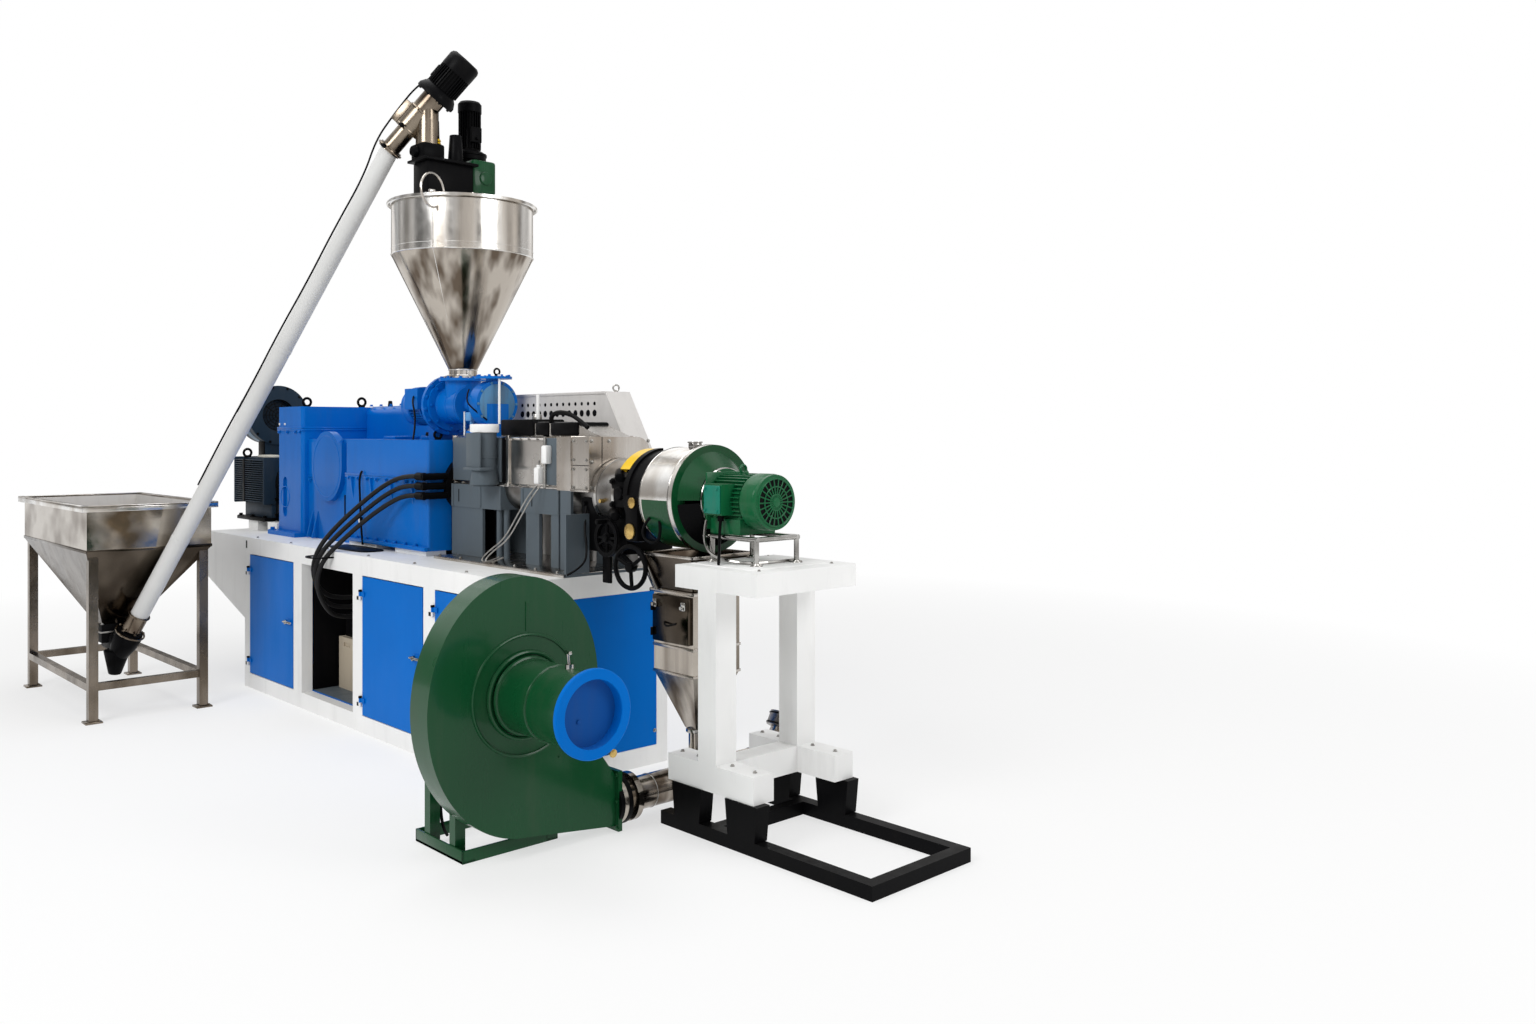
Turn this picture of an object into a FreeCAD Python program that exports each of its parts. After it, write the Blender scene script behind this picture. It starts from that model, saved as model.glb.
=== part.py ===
import FreeCAD, Part
import math
import os
import re
import Sketcher

# Single screw extruder station: a long cabinet base carries the main motor, gearbox, force feeder, hopper and
# barrel. A loading bin with an inclined auger fills the hopper. A cutter on a rail-guided stand closes the die,
# and a blower draws the cut pellets from the collector under it.
# Frame: X runs along the screw towards the die, Y across the machine, Z up. The origin lies on the floor under
# the screw axis at the middle of the base.

doc = FreeCAD.newDocument("SingleScrewExtruder")
sheet = doc.addObject("Spreadsheet::Sheet", "Sizes")

# Driving sizes in millimetres.
SIZES = {
    # base cabinet
    "base_long": 3000, "base_front": 470, "base_back": 310, "base_high": 880, "beam_deep": 60,
    "low_high": 85, "top_high": 87, "deck_thick": 8, "end_post": 80, "mid_post": 108,
    "sheet_thick": 3, "panel_inset": 4,
    # overhanging motor shelf
    "shelf_long": 620, "shelf_plate": 20, "shelf_web": 12, "shelf_end_low": 595, "shelf_root_low": 400,
    # doors
    "door_gap": 5, "door_thick": 18, "door_proud": 2, "door_skin": 2, "door_lip": 16, "hinge_offset": 6,
    "hinge_stand": 9, "knuckle_radius": 7, "knuckle_high": 22, "hinge_pin": 4, "hinge_play": 0.3,
    "hinge_low": 130, "hinge_top": 660, "latch_long": 60, "latch_high": 30, "latch_thick": 9,
    "latch_up": 435, "latch_in": 75,
    # lubrication unit in the open bay
    "tank_left": 660, "tank_long": 400, "tank_front": 270, "tank_deep": 330, "tank_high": 285,
    "pump_long": 200, "pump_deep": 150, "pump_high": 130, "pump_motor_radius": 65, "pump_motor_long": 180,
    "manifold_high": 280,
    # screw axis and gearbox
    "screw_high": 1235, "gear_front": 240, "gear_back": 300, "gear_low": 905, "gear_top": 1460,
    "gear_right": 294, "low_block_long": 932, "case_front": 200, "case_long": 593, "gear_edge": 22,
    "end_block_long": 357, "end_block_top": 1652, "cover_front": 160, "cover_top": 1657, "cover_right": 106,
    "cover_round": 55, "foot_thick": 25, "foot_out": 45, "bulge_wide": 400, "bulge_top": 1440,
    "bulge_mid": 1305, "bulge_out": 30, "slot_wide": 62, "slot_low": 1020, "slot_top": 1200, "slot_deep": 14,
    # main motor
    "motor_gap": 6, "motor_long": 500, "motor_half": 225, "motor_low": 1045, "motor_top": 1335,
    "motor_foot_low": 940, "motor_fin_out": 25, "motor_fin_thick": 9, "motor_fin_pitch": 27,
    "bell_radius": 178, "bell_long": 196, "bell_high": 1175, "packer_long": 150, "packer_deep": 110,
    "volute_radius": 188, "volute_wide": 205, "volute_high": 1612, "volute_in": 95, "neck_deep": 180,
    "eye_radius": 105,
    # barrel, its covers and its stand
    "flange_radius": 157, "flange_thick": 39, "barrel_radius": 110, "barrel_end": 1560, "hot_play": 0.3,
    "bed_left": 380, "bed_half": 230, "bed_thick": 12, "zone_split": 1243, "zone_box_low": 1130,
    "zone_top": 1480, "box_half": 135, "hood_half": 122, "box_1_left": 335, "box_1_long": 465,
    "box_2_left": 975, "box_2_long": 315, "hood_1_long": 520, "hood_2_left": 862, "hood_2_long": 420,
    "leg_thick": 14, "bed_end_in": 60, "duct_radius": 56, "duct_along": 735, "duct_top": 1500,
    "duct_cap_radius": 66,
    "duct_cap_high": 35, "neck_left": 1292, "neck_half": 150, "end_cover_left": 1426, "end_cover_half": 165,
    "end_cover_round": 75, "end_panel_high": 1148, "end_panel_left": 241, "end_panel_deep": 120,
    "tray_left": 720, "tray_long": 360, "belt_left": 1130, "belt_long": 400, "tray_half": 80, "tray_high": 60,
    # rear guard
    "guard_left": 417, "guard_front": 170, "guard_back": 305, "guard_top": 1690, "guard_flat": 1225,
    "guard_right": 1470, "guard_corner": 1310, "guard_hole": 16, "guard_hole_pitch": 52,
    "guard_hole_high": 1590, "guard_slot_high": 1635, "guard_slot": 9, "guard_recess": 10,
    # die head
    "adaptor_radius": 150, "adaptor_long": 170, "clamp_radius": 128, "clamp_long": 100, "die_ring_radius": 188,
    "die_ring_long": 70, "die_gap": 14, "die_block_in": 120, "die_block_long": 330, "die_block_low": 990,
    "die_block_half": 120,
    "wheel_radius": 70, "wheel_rim": 9, "wheel_out": 60, "wheel_high": 1060, "wheel_at": 150, "wheel_shaft": 24,
    # force feeder under the hopper
    "feed_high": 1640, "feed_at": 213, "inlet_flange_radius": 121, "inlet_flange_thick": 14,
    "inlet_top": 1776, "feed_body_radius": 96, "feed_body_left": 82, "feed_body_right": 300,
    "feed_flange_radius": 155, "feed_flange_thick": 22, "feed_gear_long": 120, "feed_gear_radius": 104,
    "feed_motor_long": 130, "feed_motor_radius": 84, "cowl_long": 75, "cowl_radius": 104,
    "feed_tube_radius": 42, "drum_radius_feed": 116, "drum_left_feed": 470, "drum_right_feed": 548,
    "drum_flange_radius": 92, "chute_long": 120, "chute_deep": 236,
    # hopper
    "hopper_radius": 355, "hopper_wall": 3, "hopper_rim": 2675, "hopper_seam": 2414, "hopper_neck": 1832,
    "neck_radius": 68, "rim_out": 20, "rim_high": 14, "collar_radius": 74, "collar_high": 42, "lid_thick": 6,
    # agitator drive on the lid
    "agitator_at": 110, "agitator_back": 80, "agitator_half": 90, "agitator_high": 210, "agitator_step": 85,
    "lid_motor_at": 225, "lid_motor_radius": 46, "lid_motor_long": 190, "lid_flange_radius": 78,
    "spout_radius": 54, "spout_flange_radius": 78, "spout_flange_thick": 12,
    # loading bin
    "bin_left": 2365, "bin_long": 1300, "bin_front": 1420, "bin_deep": 610, "bin_rim_high": 1120,
    "bin_wall_low": 882, "bin_wall": 3, "bin_lip": 28, "bin_lip_thick": 6, "bin_mouth": 150,
    "mouth_in_x": 965, "mouth_in_y": 219,
    "bin_mouth_high": 470, "bin_leg": 45, "bin_leg_in": 12, "bin_rail": 38, "bin_rail_high": 165,
    "bin_foot": 80, "bin_foot_thick": 8, "gate_high": 100, "gate_half": 85,
    # inclined auger
    "auger_radius": 46, "auger_foot_x": 1290, "auger_foot_y": 1215, "auger_foot_z": 300,
    "spout_at": 215, "spout_front": 200, "spout_up": 480, "head_reach": 290, "lean_x": 494, "lean_y": 451,
    "lean_z": 743, "boot_radius": 72, "boot_long": 170, "joint_radius": 58, "joint_long": 26, "head_tube": 110,
    "auger_box": 66, "auger_box_long": 94, "head_body_radius": 60, "head_body_long": 114,
    "auger_flange_radius": 84, "auger_flange_thick": 16, "auger_motor_radius": 62, "auger_motor_long": 180,
    "auger_cowl_long": 55,
    # cutter carriage
    "drum_left": 1954, "drum_right": 2172, "drum_radius": 203, "drum_wall": 5, "drum_rim_out": 12,
    "drum_rim_long": 26, "port_radius": 28, "cutter_hub_radius": 70, "knife_motor_left": 2236,
    "knife_flange_radius": 122, "knife_flange_thick": 16, "knife_body_radius": 92, "knife_body_long": 190,
    "knife_cowl_long": 86, "knife_cowl_radius": 105, "knife_box_long": 100, "knife_box_high": 118,
    "knife_box_out": 150, "knife_foot_half": 92, "bar_radius": 10, "bar_left": 2288, "bar_right": 2536,
    "bar_front": 105, "bar_high": 1100, "bar_over": 45, "pad_radius": 22, "pad_high": 8,
    "table_left": 2252, "table_long": 450, "table_half": 260, "table_top": 1000, "table_thick": 85,
    "post_side": 100, "post_left": 2385, "beam_low": 180, "beam_thick": 100, "beam_left": 2211,
    "beam_long": 474, "bracket_long": 170, "bracket_wide": 62, "bracket_slope": 14, "bracket_1": 2240,
    "bracket_2": 2540, "slide_play": 0.5,
    # floor rails
    "rail_left": 2165, "rail_long": 1075, "rail_side": 50, "rail_apart": 470, "rail_cross": 2420,
    # collector below the cutter
    "collector_at": 2072, "collector_side": 244, "collector_top": 1012, "collector_mouth": 330,
    "collector_ledge": 865, "collector_low": 540, "collector_neck": 308, "collector_wall": 3,
    "collector_lip": 12, "drop_radius": 33,
    # blower and pick-up pipe
    "scroll_deep": 120, "scroll_centre_y": 840, "scroll_high": 575, "scroll_radius": 361, "scroll_grow": 142,
    "scroll_narrow": 0.82, "outlet_end": 450, "outlet_low": 24, "outlet_high": 190,
    "outlet_flange": 18, "inlet_radius": 62, "inlet_long": 350, "inlet_flange": 82, "inlet_ring": 14,
    "inlet_boss": 125, "fan_motor_radius": 95, "fan_motor_long": 260, "fan_leg": 40, "fan_stand_half": 190,
    "fan_saddle_half": 70, "pipe_radius": 64, "pipe_high": 104, "pipe_turn": 200, "pipe_turn_at": 325,
    "pipe_flange_radius": 92,
    "coupling_long": 60, "coupling_bore": 55, "coupling_radius": 86,
    # hoses
    "hose_radius": 12,
}
for row, (alias, number) in enumerate(SIZES.items(), start=1):
    sheet.set(f"A{row}", alias)
    sheet.set(f"B{row}", str(number))
    sheet.setAlias(f"B{row}", alias)
doc.recompute()

WORD = re.compile(r"[a-z][a-z0-9_]*")
TURN = {
    "X": FreeCAD.Rotation(FreeCAD.Vector(0, 1, 0), 90),
    "-X": FreeCAD.Rotation(FreeCAD.Vector(0, 1, 0), -90),
    "Y": FreeCAD.Rotation(FreeCAD.Vector(1, 0, 0), -90),
    "-Y": FreeCAD.Rotation(FreeCAD.Vector(1, 0, 0), 90),
    "Z": FreeCAD.Rotation(),
}
nodes = []


def size(alias):
    """The number held by one cell of the sheet."""
    return float(sheet.get(alias))


def bound(text):
    """An expression in which every alias points at the sheet."""
    return WORD.sub(lambda m: "Sizes." + m.group() if m.group() in SIZES else m.group(), str(text))


def bind(thing, **fields):
    """Bind properties of an object to expressions."""
    for field, text in fields.items():
        thing.setExpression(field.replace("__", "."), bound(text))
    return thing


def place(thing, x, y, z, turn=None):
    """Put an object's own origin at x, y, z."""
    if turn is not None:
        thing.Placement = FreeCAD.Placement(FreeCAD.Vector(), turn)
    return bind(thing, Placement__Base__x=x, Placement__Base__y=y, Placement__Base__z=z)


def box(x, y, z, long, deep, high):
    piece = doc.addObject("Part::Box", "Block")
    bind(piece, Length=long, Width=deep, Height=high)
    return place(piece, x, y, z)


def rod(axis, x, y, z, radius, long):
    piece = doc.addObject("Part::Cylinder", "Rod")
    bind(piece, Radius=radius, Height=long)
    return place(piece, x, y, z, TURN[axis])


def taper(axis, x, y, z, radius, end_radius, long):
    piece = doc.addObject("Part::Cone", "Taper")
    bind(piece, Radius1=radius, Radius2=end_radius, Height=long)
    return place(piece, x, y, z, TURN[axis])


def frustum(x, y, z, low_long, low_deep, top_long, top_deep, high, over_x="0", over_y="0"):
    """A four-sided taper on x, y, z at the middle of its lower face, its top moved by over_x, over_y."""
    piece = doc.addObject("Part::Wedge", "Frustum")
    bind(piece, Xmin=f"-({low_long})/2", Xmax=f"({low_long})/2",
         Zmin=f"-({low_deep})/2", Zmax=f"({low_deep})/2",
         X2min=f"{over_x} - ({top_long})/2", X2max=f"{over_x} + ({top_long})/2",
         Z2min=f"-({over_y}) - ({top_deep})/2", Z2max=f"-({over_y}) + ({top_deep})/2", Ymin="0", Ymax=high)
    return place(piece, x, y, z, TURN["-Y"])


def fuse(*pieces):
    joined = doc.addObject("Part::MultiFuse", "Joined")
    joined.Shapes = list(pieces)
    return joined


def cut(piece, *tools):
    for tool in tools:
        result = doc.addObject("Part::Cut", "Cut")
        result.Base, result.Tool = piece, tool
        piece = result
    return piece


def apart(*pieces):
    """Several separate solids that share one node."""
    group = doc.addObject("Part::Compound", "Group")
    group.Links = list(pieces)
    return group


def outline(body, plane, points, offset=None):
    """A closed polygon in one of the body's origin planes, each corner bound to the sheet."""
    sketch = body.newObject("Sketcher::SketchObject", "Outline")
    face = [f for f in body.Origin.OriginFeatures if f.Role == plane][0]
    sketch.AttachmentSupport = [(face, "")]
    sketch.MapMode = "FlatFace"
    if offset is not None:
        bind(sketch, AttachmentOffset__Base__z=offset)
    count = len(points)
    start = [FreeCAD.Vector(100 * math.cos(2 * math.pi * i / count), 100 * math.sin(2 * math.pi * i / count), 0)
             for i in range(count)]
    for i in range(count):
        sketch.addGeometry(Part.LineSegment(start[i], start[(i + 1) % count]), False)
    for i in range(count):
        sketch.addConstraint(Sketcher.Constraint("Coincident", i, 2, (i + 1) % count, 1))
    for i, (across, up) in enumerate(points):
        for kind, text, now in (("DistanceX", across, start[i].x), ("DistanceY", up, start[i].y)):
            number = sketch.addConstraint(Sketcher.Constraint(kind, -1, 1, i, 1, now))
            sketch.setExpression(f"Constraints[{number}]", bound(text))
    return sketch


def prism(plane, points, long, x="0", y="0", z="0"):
    """A body padded from a polygon: towards +X from YZ, +Y from XZ and +Z from XY."""
    body = doc.addObject("PartDesign::Body", "Prism")
    pad = body.newObject("PartDesign::Pad", "Pad")
    pad.Profile = outline(body, plane + "_Plane", points)
    pad.Reversed = plane == "XZ"
    bind(pad, Length=long)
    return place(body, x, y, z)


def turned(axis, x, y, z, points):
    """A body revolved about its own Z, which is then laid along the named axis. Points are radius, height."""
    body = doc.addObject("PartDesign::Body", "Turned")
    sketch = outline(body, "XZ_Plane", points)
    revolution = body.newObject("PartDesign::Revolution", "Revolution")
    revolution.Profile = sketch
    revolution.ReferenceAxis = (sketch, ["V_Axis"])
    revolution.Angle = 360
    return place(body, x, y, z, TURN[axis])


def rounded(body, radius, chosen):
    """Fillet the edges of a body that the test chooses."""
    doc.recompute()
    base = body.Tip
    names = [f"Edge{i}" for i, edge in enumerate(base.Shape.Edges, start=1) if chosen(edge)]
    fillet = body.newObject("PartDesign::Fillet", "Fillet")
    fillet.Base = (base, names)
    bind(fillet, Radius=radius)
    body.Tip = fillet
    return body


def runs_along(edge, axis):
    """True for a straight edge along X, Y or Z."""
    ends = [v.Point for v in edge.Vertexes]
    if len(ends) != 2:
        return False
    way = (ends[1] - ends[0]).normalize()
    return abs(way["XYZ".index(axis)]) > 0.999


def keep(node, piece):
    piece.Label = node
    nodes.append((node, piece))
    return piece


# Base cabinet: four bays between five posts, front and back.
BAY = "((base_long - 2 * end_post - 3 * mid_post) / 4)"
LEFT = "(-base_long / 2)"
FRONT = "(-base_front)"
DEEP = "(base_front + base_back)"
BEAM_TOP = "(base_high - deck_thick)"
BAY_TOP = "(base_high - deck_thick - top_high)"


def post_x(k):
    if k == 0:
        return LEFT
    if k == 4:
        return "(base_long / 2 - end_post)"
    return f"({LEFT} + end_post + {k} * {BAY} + {k - 1} * mid_post)"


def post_wide(k):
    return "end_post" if k in (0, 4) else "mid_post"


def bay_x(k):
    """Left edge of the opening between post k and the next."""
    return f"({post_x(k)} + {post_wide(k)})"


BACK_BEAM = "(base_back - beam_deep)"
keep("base_long_beams", apart(*[
    box(LEFT, y, z, "base_long", "beam_deep", high)
    for y in (FRONT, BACK_BEAM) for z, high in (("0", "low_high"), (BAY_TOP, "top_high"))]))
keep("base_cross_beams", apart(*[
    box(post_x(k), f"{FRONT} + beam_deep", z, post_wide(k), f"{DEEP} - 2 * beam_deep", high)
    for k in range(5) for z, high in (("0", "low_high"), (BAY_TOP, "top_high"))]))
keep("base_posts", apart(*[
    box(post_x(k), y, "low_high", post_wide(k), "beam_deep", f"{BAY_TOP} - low_high")
    for k in range(5) for y in (FRONT, BACK_BEAM)]))
keep("base_deck", box(LEFT, FRONT, BEAM_TOP, "base_long", DEEP, "deck_thick"))
panels = [box(f"{LEFT} + panel_inset + sheet_thick", f"{FRONT} + beam_deep", "low_high",
              "base_long - 2 * panel_inset - 2 * sheet_thick", f"{DEEP} - 2 * beam_deep", "sheet_thick")]
panels += [box(bay_x(k), "base_back - panel_inset - sheet_thick", "low_high", BAY, "sheet_thick",
              f"{BAY_TOP} - low_high") for k in range(4)]
panels += [box(x, f"{FRONT} + beam_deep", "low_high", "sheet_thick", f"{DEEP} - 2 * beam_deep",
               f"{BAY_TOP} - low_high")
           for x in (f"{LEFT} + panel_inset", "base_long / 2 - panel_inset - sheet_thick")]
keep("base_panels", apart(*panels))

# Shelf for the main motor, welded out past the left end.
SHELF_LEFT = "(-base_long / 2 - shelf_long)"
web_points = [(LEFT, "base_high - shelf_plate"), (SHELF_LEFT, "base_high - shelf_plate"),
              (SHELF_LEFT, "shelf_end_low"), (LEFT, "shelf_root_low")]
keep("motor_shelf", fuse(
    box(SHELF_LEFT, FRONT, "base_high - shelf_plate", "shelf_long", DEEP, "shelf_plate"),
    prism("XZ", web_points, "shelf_web", y=FRONT),
    prism("XZ", web_points, "shelf_web", y="base_back - shelf_web"),
    box(SHELF_LEFT, FRONT, "shelf_end_low", "shelf_web", DEEP, "base_high - shelf_plate - shelf_end_low")))

# Doors: pressed pans on lift-off hinges at their left edge, with a swing latch at the right.
DOOR_LOW = "(low_high + door_gap)"
DOOR_HIGH = f"({BAY_TOP} - low_high - 2 * door_gap)"
PIN_Y = "(-base_front - hinge_stand)"
SKIN_Y = "(-base_front - door_proud)"


def door(k):
    edge = f"({bay_x(k)} + door_gap)"
    wide = f"({BAY} - 2 * door_gap)"
    pin_x = f"({bay_x(k)} - hinge_offset)"
    pan = cut(box(edge, SKIN_Y, DOOR_LOW, wide, "door_thick", DOOR_HIGH),
              box(f"{edge} + door_lip", f"{SKIN_Y} + door_skin", f"{DOOR_LOW} + door_lip",
                  f"{wide} - 2 * door_lip", "door_thick", f"{DOOR_HIGH} - 2 * door_lip"))
    pieces = [pan]
    for high in ("hinge_low", "hinge_top"):
        up = f"({high} + knuckle_high + 0.5)"
        pieces.append(rod("Z", pin_x, PIN_Y, up, "knuckle_radius", "knuckle_high"))
        pieces.append(box(pin_x, PIN_Y, up, "hinge_offset + door_gap + 30", "hinge_stand - door_proud",
                          "knuckle_high"))
    pieces.append(box(f"{edge} + {wide} - latch_in", f"{SKIN_Y} - latch_thick", "latch_up", "latch_long",
                      "latch_thick", "latch_high"))
    pieces.append(rod("-Y", f"{edge} + {wide} - latch_in + latch_high / 2", f"{SKIN_Y} - latch_thick",
                      "latch_up + latch_high / 2", "latch_high / 3", "latch_thick"))
    holes = [rod("Z", pin_x, PIN_Y, f"{high} + knuckle_high", "hinge_pin + hinge_play", "knuckle_high + 2")
             for high in ("hinge_low", "hinge_top")]
    return cut(fuse(*pieces), *holes)


for number, k in ((1, 0), (2, 2), (3, 3)):
    keep(f"door_{number}", door(k))
hinges = []
for k in (0, 2, 3):
    for high in ("hinge_low", "hinge_top"):
        pin_x = f"({bay_x(k)} - hinge_offset)"
        hinges.append(fuse(
            rod("Z", pin_x, PIN_Y, high, "knuckle_radius", "knuckle_high"),
            rod("Z", pin_x, PIN_Y, high, "hinge_pin", "2 * knuckle_high + 4"),
            box(f"{pin_x} - 34", PIN_Y, high, "34", "hinge_stand", "knuckle_high")))
keep("door_hinges", apart(*hinges))

# Lubrication unit seen through the open bay: a tank with a pump block and motor on top.
TANK_LOW = "(low_high + sheet_thick)"
TANK_TOP = "(low_high + sheet_thick + tank_high)"
keep("oil_tank", cut(
    box("-tank_left", "-tank_front", TANK_LOW, "tank_long", "tank_deep", "tank_high"),
    box("-tank_left + 60", "-tank_front - 1", "low_high + tank_high - 45", "80", "9", "20")))
keep("oil_pump", fuse(
    box("-tank_left + 20", "-tank_front + 30", TANK_TOP, "pump_long", "pump_deep", "pump_high"),
    rod("X", "-tank_left + 20 + pump_long", "-tank_front + 30 + pump_deep / 2",
        f"{TANK_TOP} + pump_motor_radius", "pump_motor_radius", "pump_motor_long - 20"),
    rod("Z", "-tank_left + 70", "-tank_front + 80", f"{TANK_TOP} + pump_high", "22", "70"),
    box("-tank_left + 160", "-tank_front + 8", TANK_TOP, "120", "60", "manifold_high")))

# Main motor with its cooling ribs, bell end, feet and top blower.
END_LEFT = "(gear_right - low_block_long - case_long - end_block_long)"
BELL_LEFT = f"({END_LEFT} - motor_gap - bell_long)"
MOTOR_LEFT = f"({END_LEFT} - motor_gap - bell_long - motor_long)"
VOLUTE_RIGHT = f"({MOTOR_LEFT} + volute_in)"
ribs = []
for side in ("-motor_half - motor_fin_out", "motor_half"):
    for i in range(10):
        ribs.append(box(f"{MOTOR_LEFT} + 14", side, f"motor_low + 14 + {i} * motor_fin_pitch",
                        "motor_long - 28", "motor_fin_out", "motor_fin_thick"))
keep("main_motor", fuse(
    box(MOTOR_LEFT, "-motor_half", "motor_low", "motor_long", "2 * motor_half", "motor_top - motor_low"),
    *ribs,
    rod("X", BELL_LEFT, "0", "bell_high", "bell_radius", "bell_long"),
    box(BELL_LEFT, "-bell_radius", "motor_foot_low", "bell_long", "2 * bell_radius",
        "bell_high - motor_foot_low"),
    box(f"{MOTOR_LEFT} + 40", "-motor_half - 20", "motor_foot_low", "motor_long - 40", "2 * motor_half + 40",
        "22"),
    box(f"{MOTOR_LEFT} + 70", "-motor_half + 40", "motor_foot_low + 22", "motor_long - 140",
        "2 * motor_half - 80", "motor_low - motor_foot_low - 22")))
VOLUTE_LEFT = f"({VOLUTE_RIGHT} - volute_wide)"
keep("motor_blower", cut(
    fuse(rod("X", VOLUTE_LEFT, "0", "volute_high", "volute_radius", "volute_wide"),
         rod("X", VOLUTE_RIGHT, "0", "volute_high", "volute_radius + 7", "12"),
         box(f"{MOTOR_LEFT} + 8", "-neck_deep / 2", "motor_top", "volute_in - 8", "neck_deep",
             "volute_high - motor_top")),
    rod("X", f"{VOLUTE_RIGHT} - 45", "0", "volute_high", "eye_radius", "60")))
keep("packers", apart(
    *[box(x, y, "base_high", "packer_long", "packer_deep", "motor_foot_low - base_high")
      for x in (f"{MOTOR_LEFT} + 190", BELL_LEFT) for y in ("-motor_half", "motor_half - packer_deep")],
    *[box(x, y, "base_high", "330", "packer_deep", "gear_low - base_high")
      for x in ("gear_right - 350", "gear_right - low_block_long + 40")
      for y in ("-gear_front", "gear_back - packer_deep")]))

# Gearbox: tall end block, low output block and case between them, and a raised cover along the back.
LOW_LEFT = "(gear_right - low_block_long)"
CASE_LEFT = "(gear_right - low_block_long - case_long)"
GEAR_DEEP = "(gear_front + gear_back)"
end_block = rounded(
    prism("XY", [(END_LEFT, "-gear_front"), (CASE_LEFT, "-gear_front"), (CASE_LEFT, "gear_back"),
                 (END_LEFT, "gear_back")], "end_block_top - base_high - foot_thick", z="base_high + foot_thick"),
    "gear_edge", lambda edge: runs_along(edge, "Z"))
slot = fuse(
    box(f"{END_LEFT} + 78", "-gear_front - 1", "slot_low", "slot_wide", "slot_deep + 1", "slot_top - slot_low"),
    rod("Y", f"{END_LEFT} + 78 + slot_wide / 2", "-gear_front - 1", "slot_low", "slot_wide / 2",
        "slot_deep + 1"),
    rod("Y", f"{END_LEFT} + 78 + slot_wide / 2", "-gear_front - 1", "slot_top", "slot_wide / 2",
        "slot_deep + 1"))
keep("gear_end_block", cut(fuse(
    end_block,
    box(f"{END_LEFT} - foot_out", "-gear_front - foot_out", "base_high", "end_block_long + foot_out",
        f"{GEAR_DEEP} + foot_out", "foot_thick")), slot))
low_block = rounded(
    prism("XY", [(LOW_LEFT, "-gear_front"), ("gear_right", "-gear_front"), ("gear_right", "gear_back"),
                 (LOW_LEFT, "gear_back")], "gear_top - gear_low", z="gear_low"),
    "gear_edge / 2", lambda edge: runs_along(edge, "Z"))
bulge_x = f"({CASE_LEFT} + 113 + bulge_wide / 2)"
keep("gear_housing", fuse(
    low_block,
    box(CASE_LEFT, "-case_front", "base_high", "case_long + 30", "case_front + gear_back",
        "gear_top - base_high"),
    box(f"{CASE_LEFT} + 113", "-case_front - bulge_out", "bulge_mid", "bulge_wide", "bulge_out + 10",
        "bulge_top - bulge_mid"),
    rod("Y", bulge_x, "-case_front - bulge_out", "bulge_mid", "bulge_wide / 2", "bulge_out + 10")))
keep("gear_cover", rounded(
    prism("YZ", [("cover_front", "gear_top"), ("gear_back", "gear_top"), ("gear_back", "cover_top"),
                 ("cover_front", "cover_top")], f"cover_right - {CASE_LEFT}", x=CASE_LEFT),
    "cover_round", lambda edge: runs_along(edge, "X") and edge.CenterOfMass.z > size("cover_top") - 1))

# Barrel with its feed flange and hose couplings.
BARREL_LEFT = "(gear_right + flange_thick)"
couplings = [rod("-Y", "gear_right + 20", "-flange_radius + 20", f"screw_high + {up}", "17", "150")
             for up in (-52, -4, 44)]
stubs = [rod("-X", "gear_right + 20", "-flange_radius - 113", f"screw_high + {up}", "20", "70")
         for up in (-52, -4, 44)]
keep("feed_flange", fuse(
    rod("X", "gear_right", "0", "screw_high", "flange_radius", "flange_thick"), *couplings, *stubs))
keep("barrel", rod("X", BARREL_LEFT, "0", "screw_high", "barrel_radius", f"barrel_end - {BARREL_LEFT}"))


def around_barrel(piece):
    """Clear a cover or box round the barrel."""
    return cut(piece, rod("X", BARREL_LEFT, "0", "screw_high", "barrel_radius + hot_play", f"barrel_end + 10"))


keep("zone_boxes", apart(*[
    around_barrel(box(x, "-box_half", "zone_box_low", long, "2 * box_half", "zone_split - zone_box_low"))
    for x, long in (("box_1_left", "box_1_long"), ("box_2_left", "box_2_long"))]))
hoods = []
for x, long in ((BARREL_LEFT, "hood_1_long"), ("hood_2_left", "hood_2_long")):
    hoods.append(around_barrel(rounded(
        prism("YZ", [("-hood_half", "zone_split"), ("hood_half", "zone_split"), ("hood_half", "zone_top"),
                     ("-hood_half", "zone_top")], long, x=x),
        "gear_edge", lambda edge: runs_along(edge, "X") and edge.CenterOfMass.z > size("zone_top") - 1)))
hoods.append(box("tray_left", "-tray_half", "zone_top", "tray_long", "2 * tray_half", "tray_high"))
hoods.append(prism("XZ", [
    ("belt_left", "zone_top"), ("belt_left + belt_long", "zone_top"),
    ("belt_left + belt_long / 2", "zone_top + tray_high"), ("belt_left", "zone_top + tray_high")],
    "2 * tray_half", y="-tray_half"))
keep("zone_hoods", apart(*hoods))
keep("zone_duct", fuse(
    rod("Z", "duct_along", "-hood_half - duct_radius - 4", "zone_split", "duct_radius",
        "duct_top - zone_split"),
    rod("Z", "duct_along", "-hood_half - duct_radius - 4", "duct_top", "duct_cap_radius", "duct_cap_high"),
    box("duct_along - 30", "-hood_half - 30", "zone_split + 40", "60", "30", "60")))
BED_TOP = "(base_high + bed_thick)"
legs = []
for x, wide in (("box_1_left", "295"), ("box_2_left + 40", "110"), ("box_2_left + box_2_long - 70", "60")):
    for y in ("-box_half + 4", "box_half - 4 - leg_thick"):
        legs.append(box(x, y, BED_TOP, wide, "leg_thick", f"zone_box_low - {BED_TOP}"))
for x, in_y in (("box_1_left + box_1_long - 45", "24"), ("box_1_left + box_1_long - 16", "45")):
    for y in (f"-box_half + {in_y}", f"box_half - {in_y}"):
        legs.append(rod("Z", x, y, BED_TOP, "15", f"zone_box_low - {BED_TOP}"))
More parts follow.
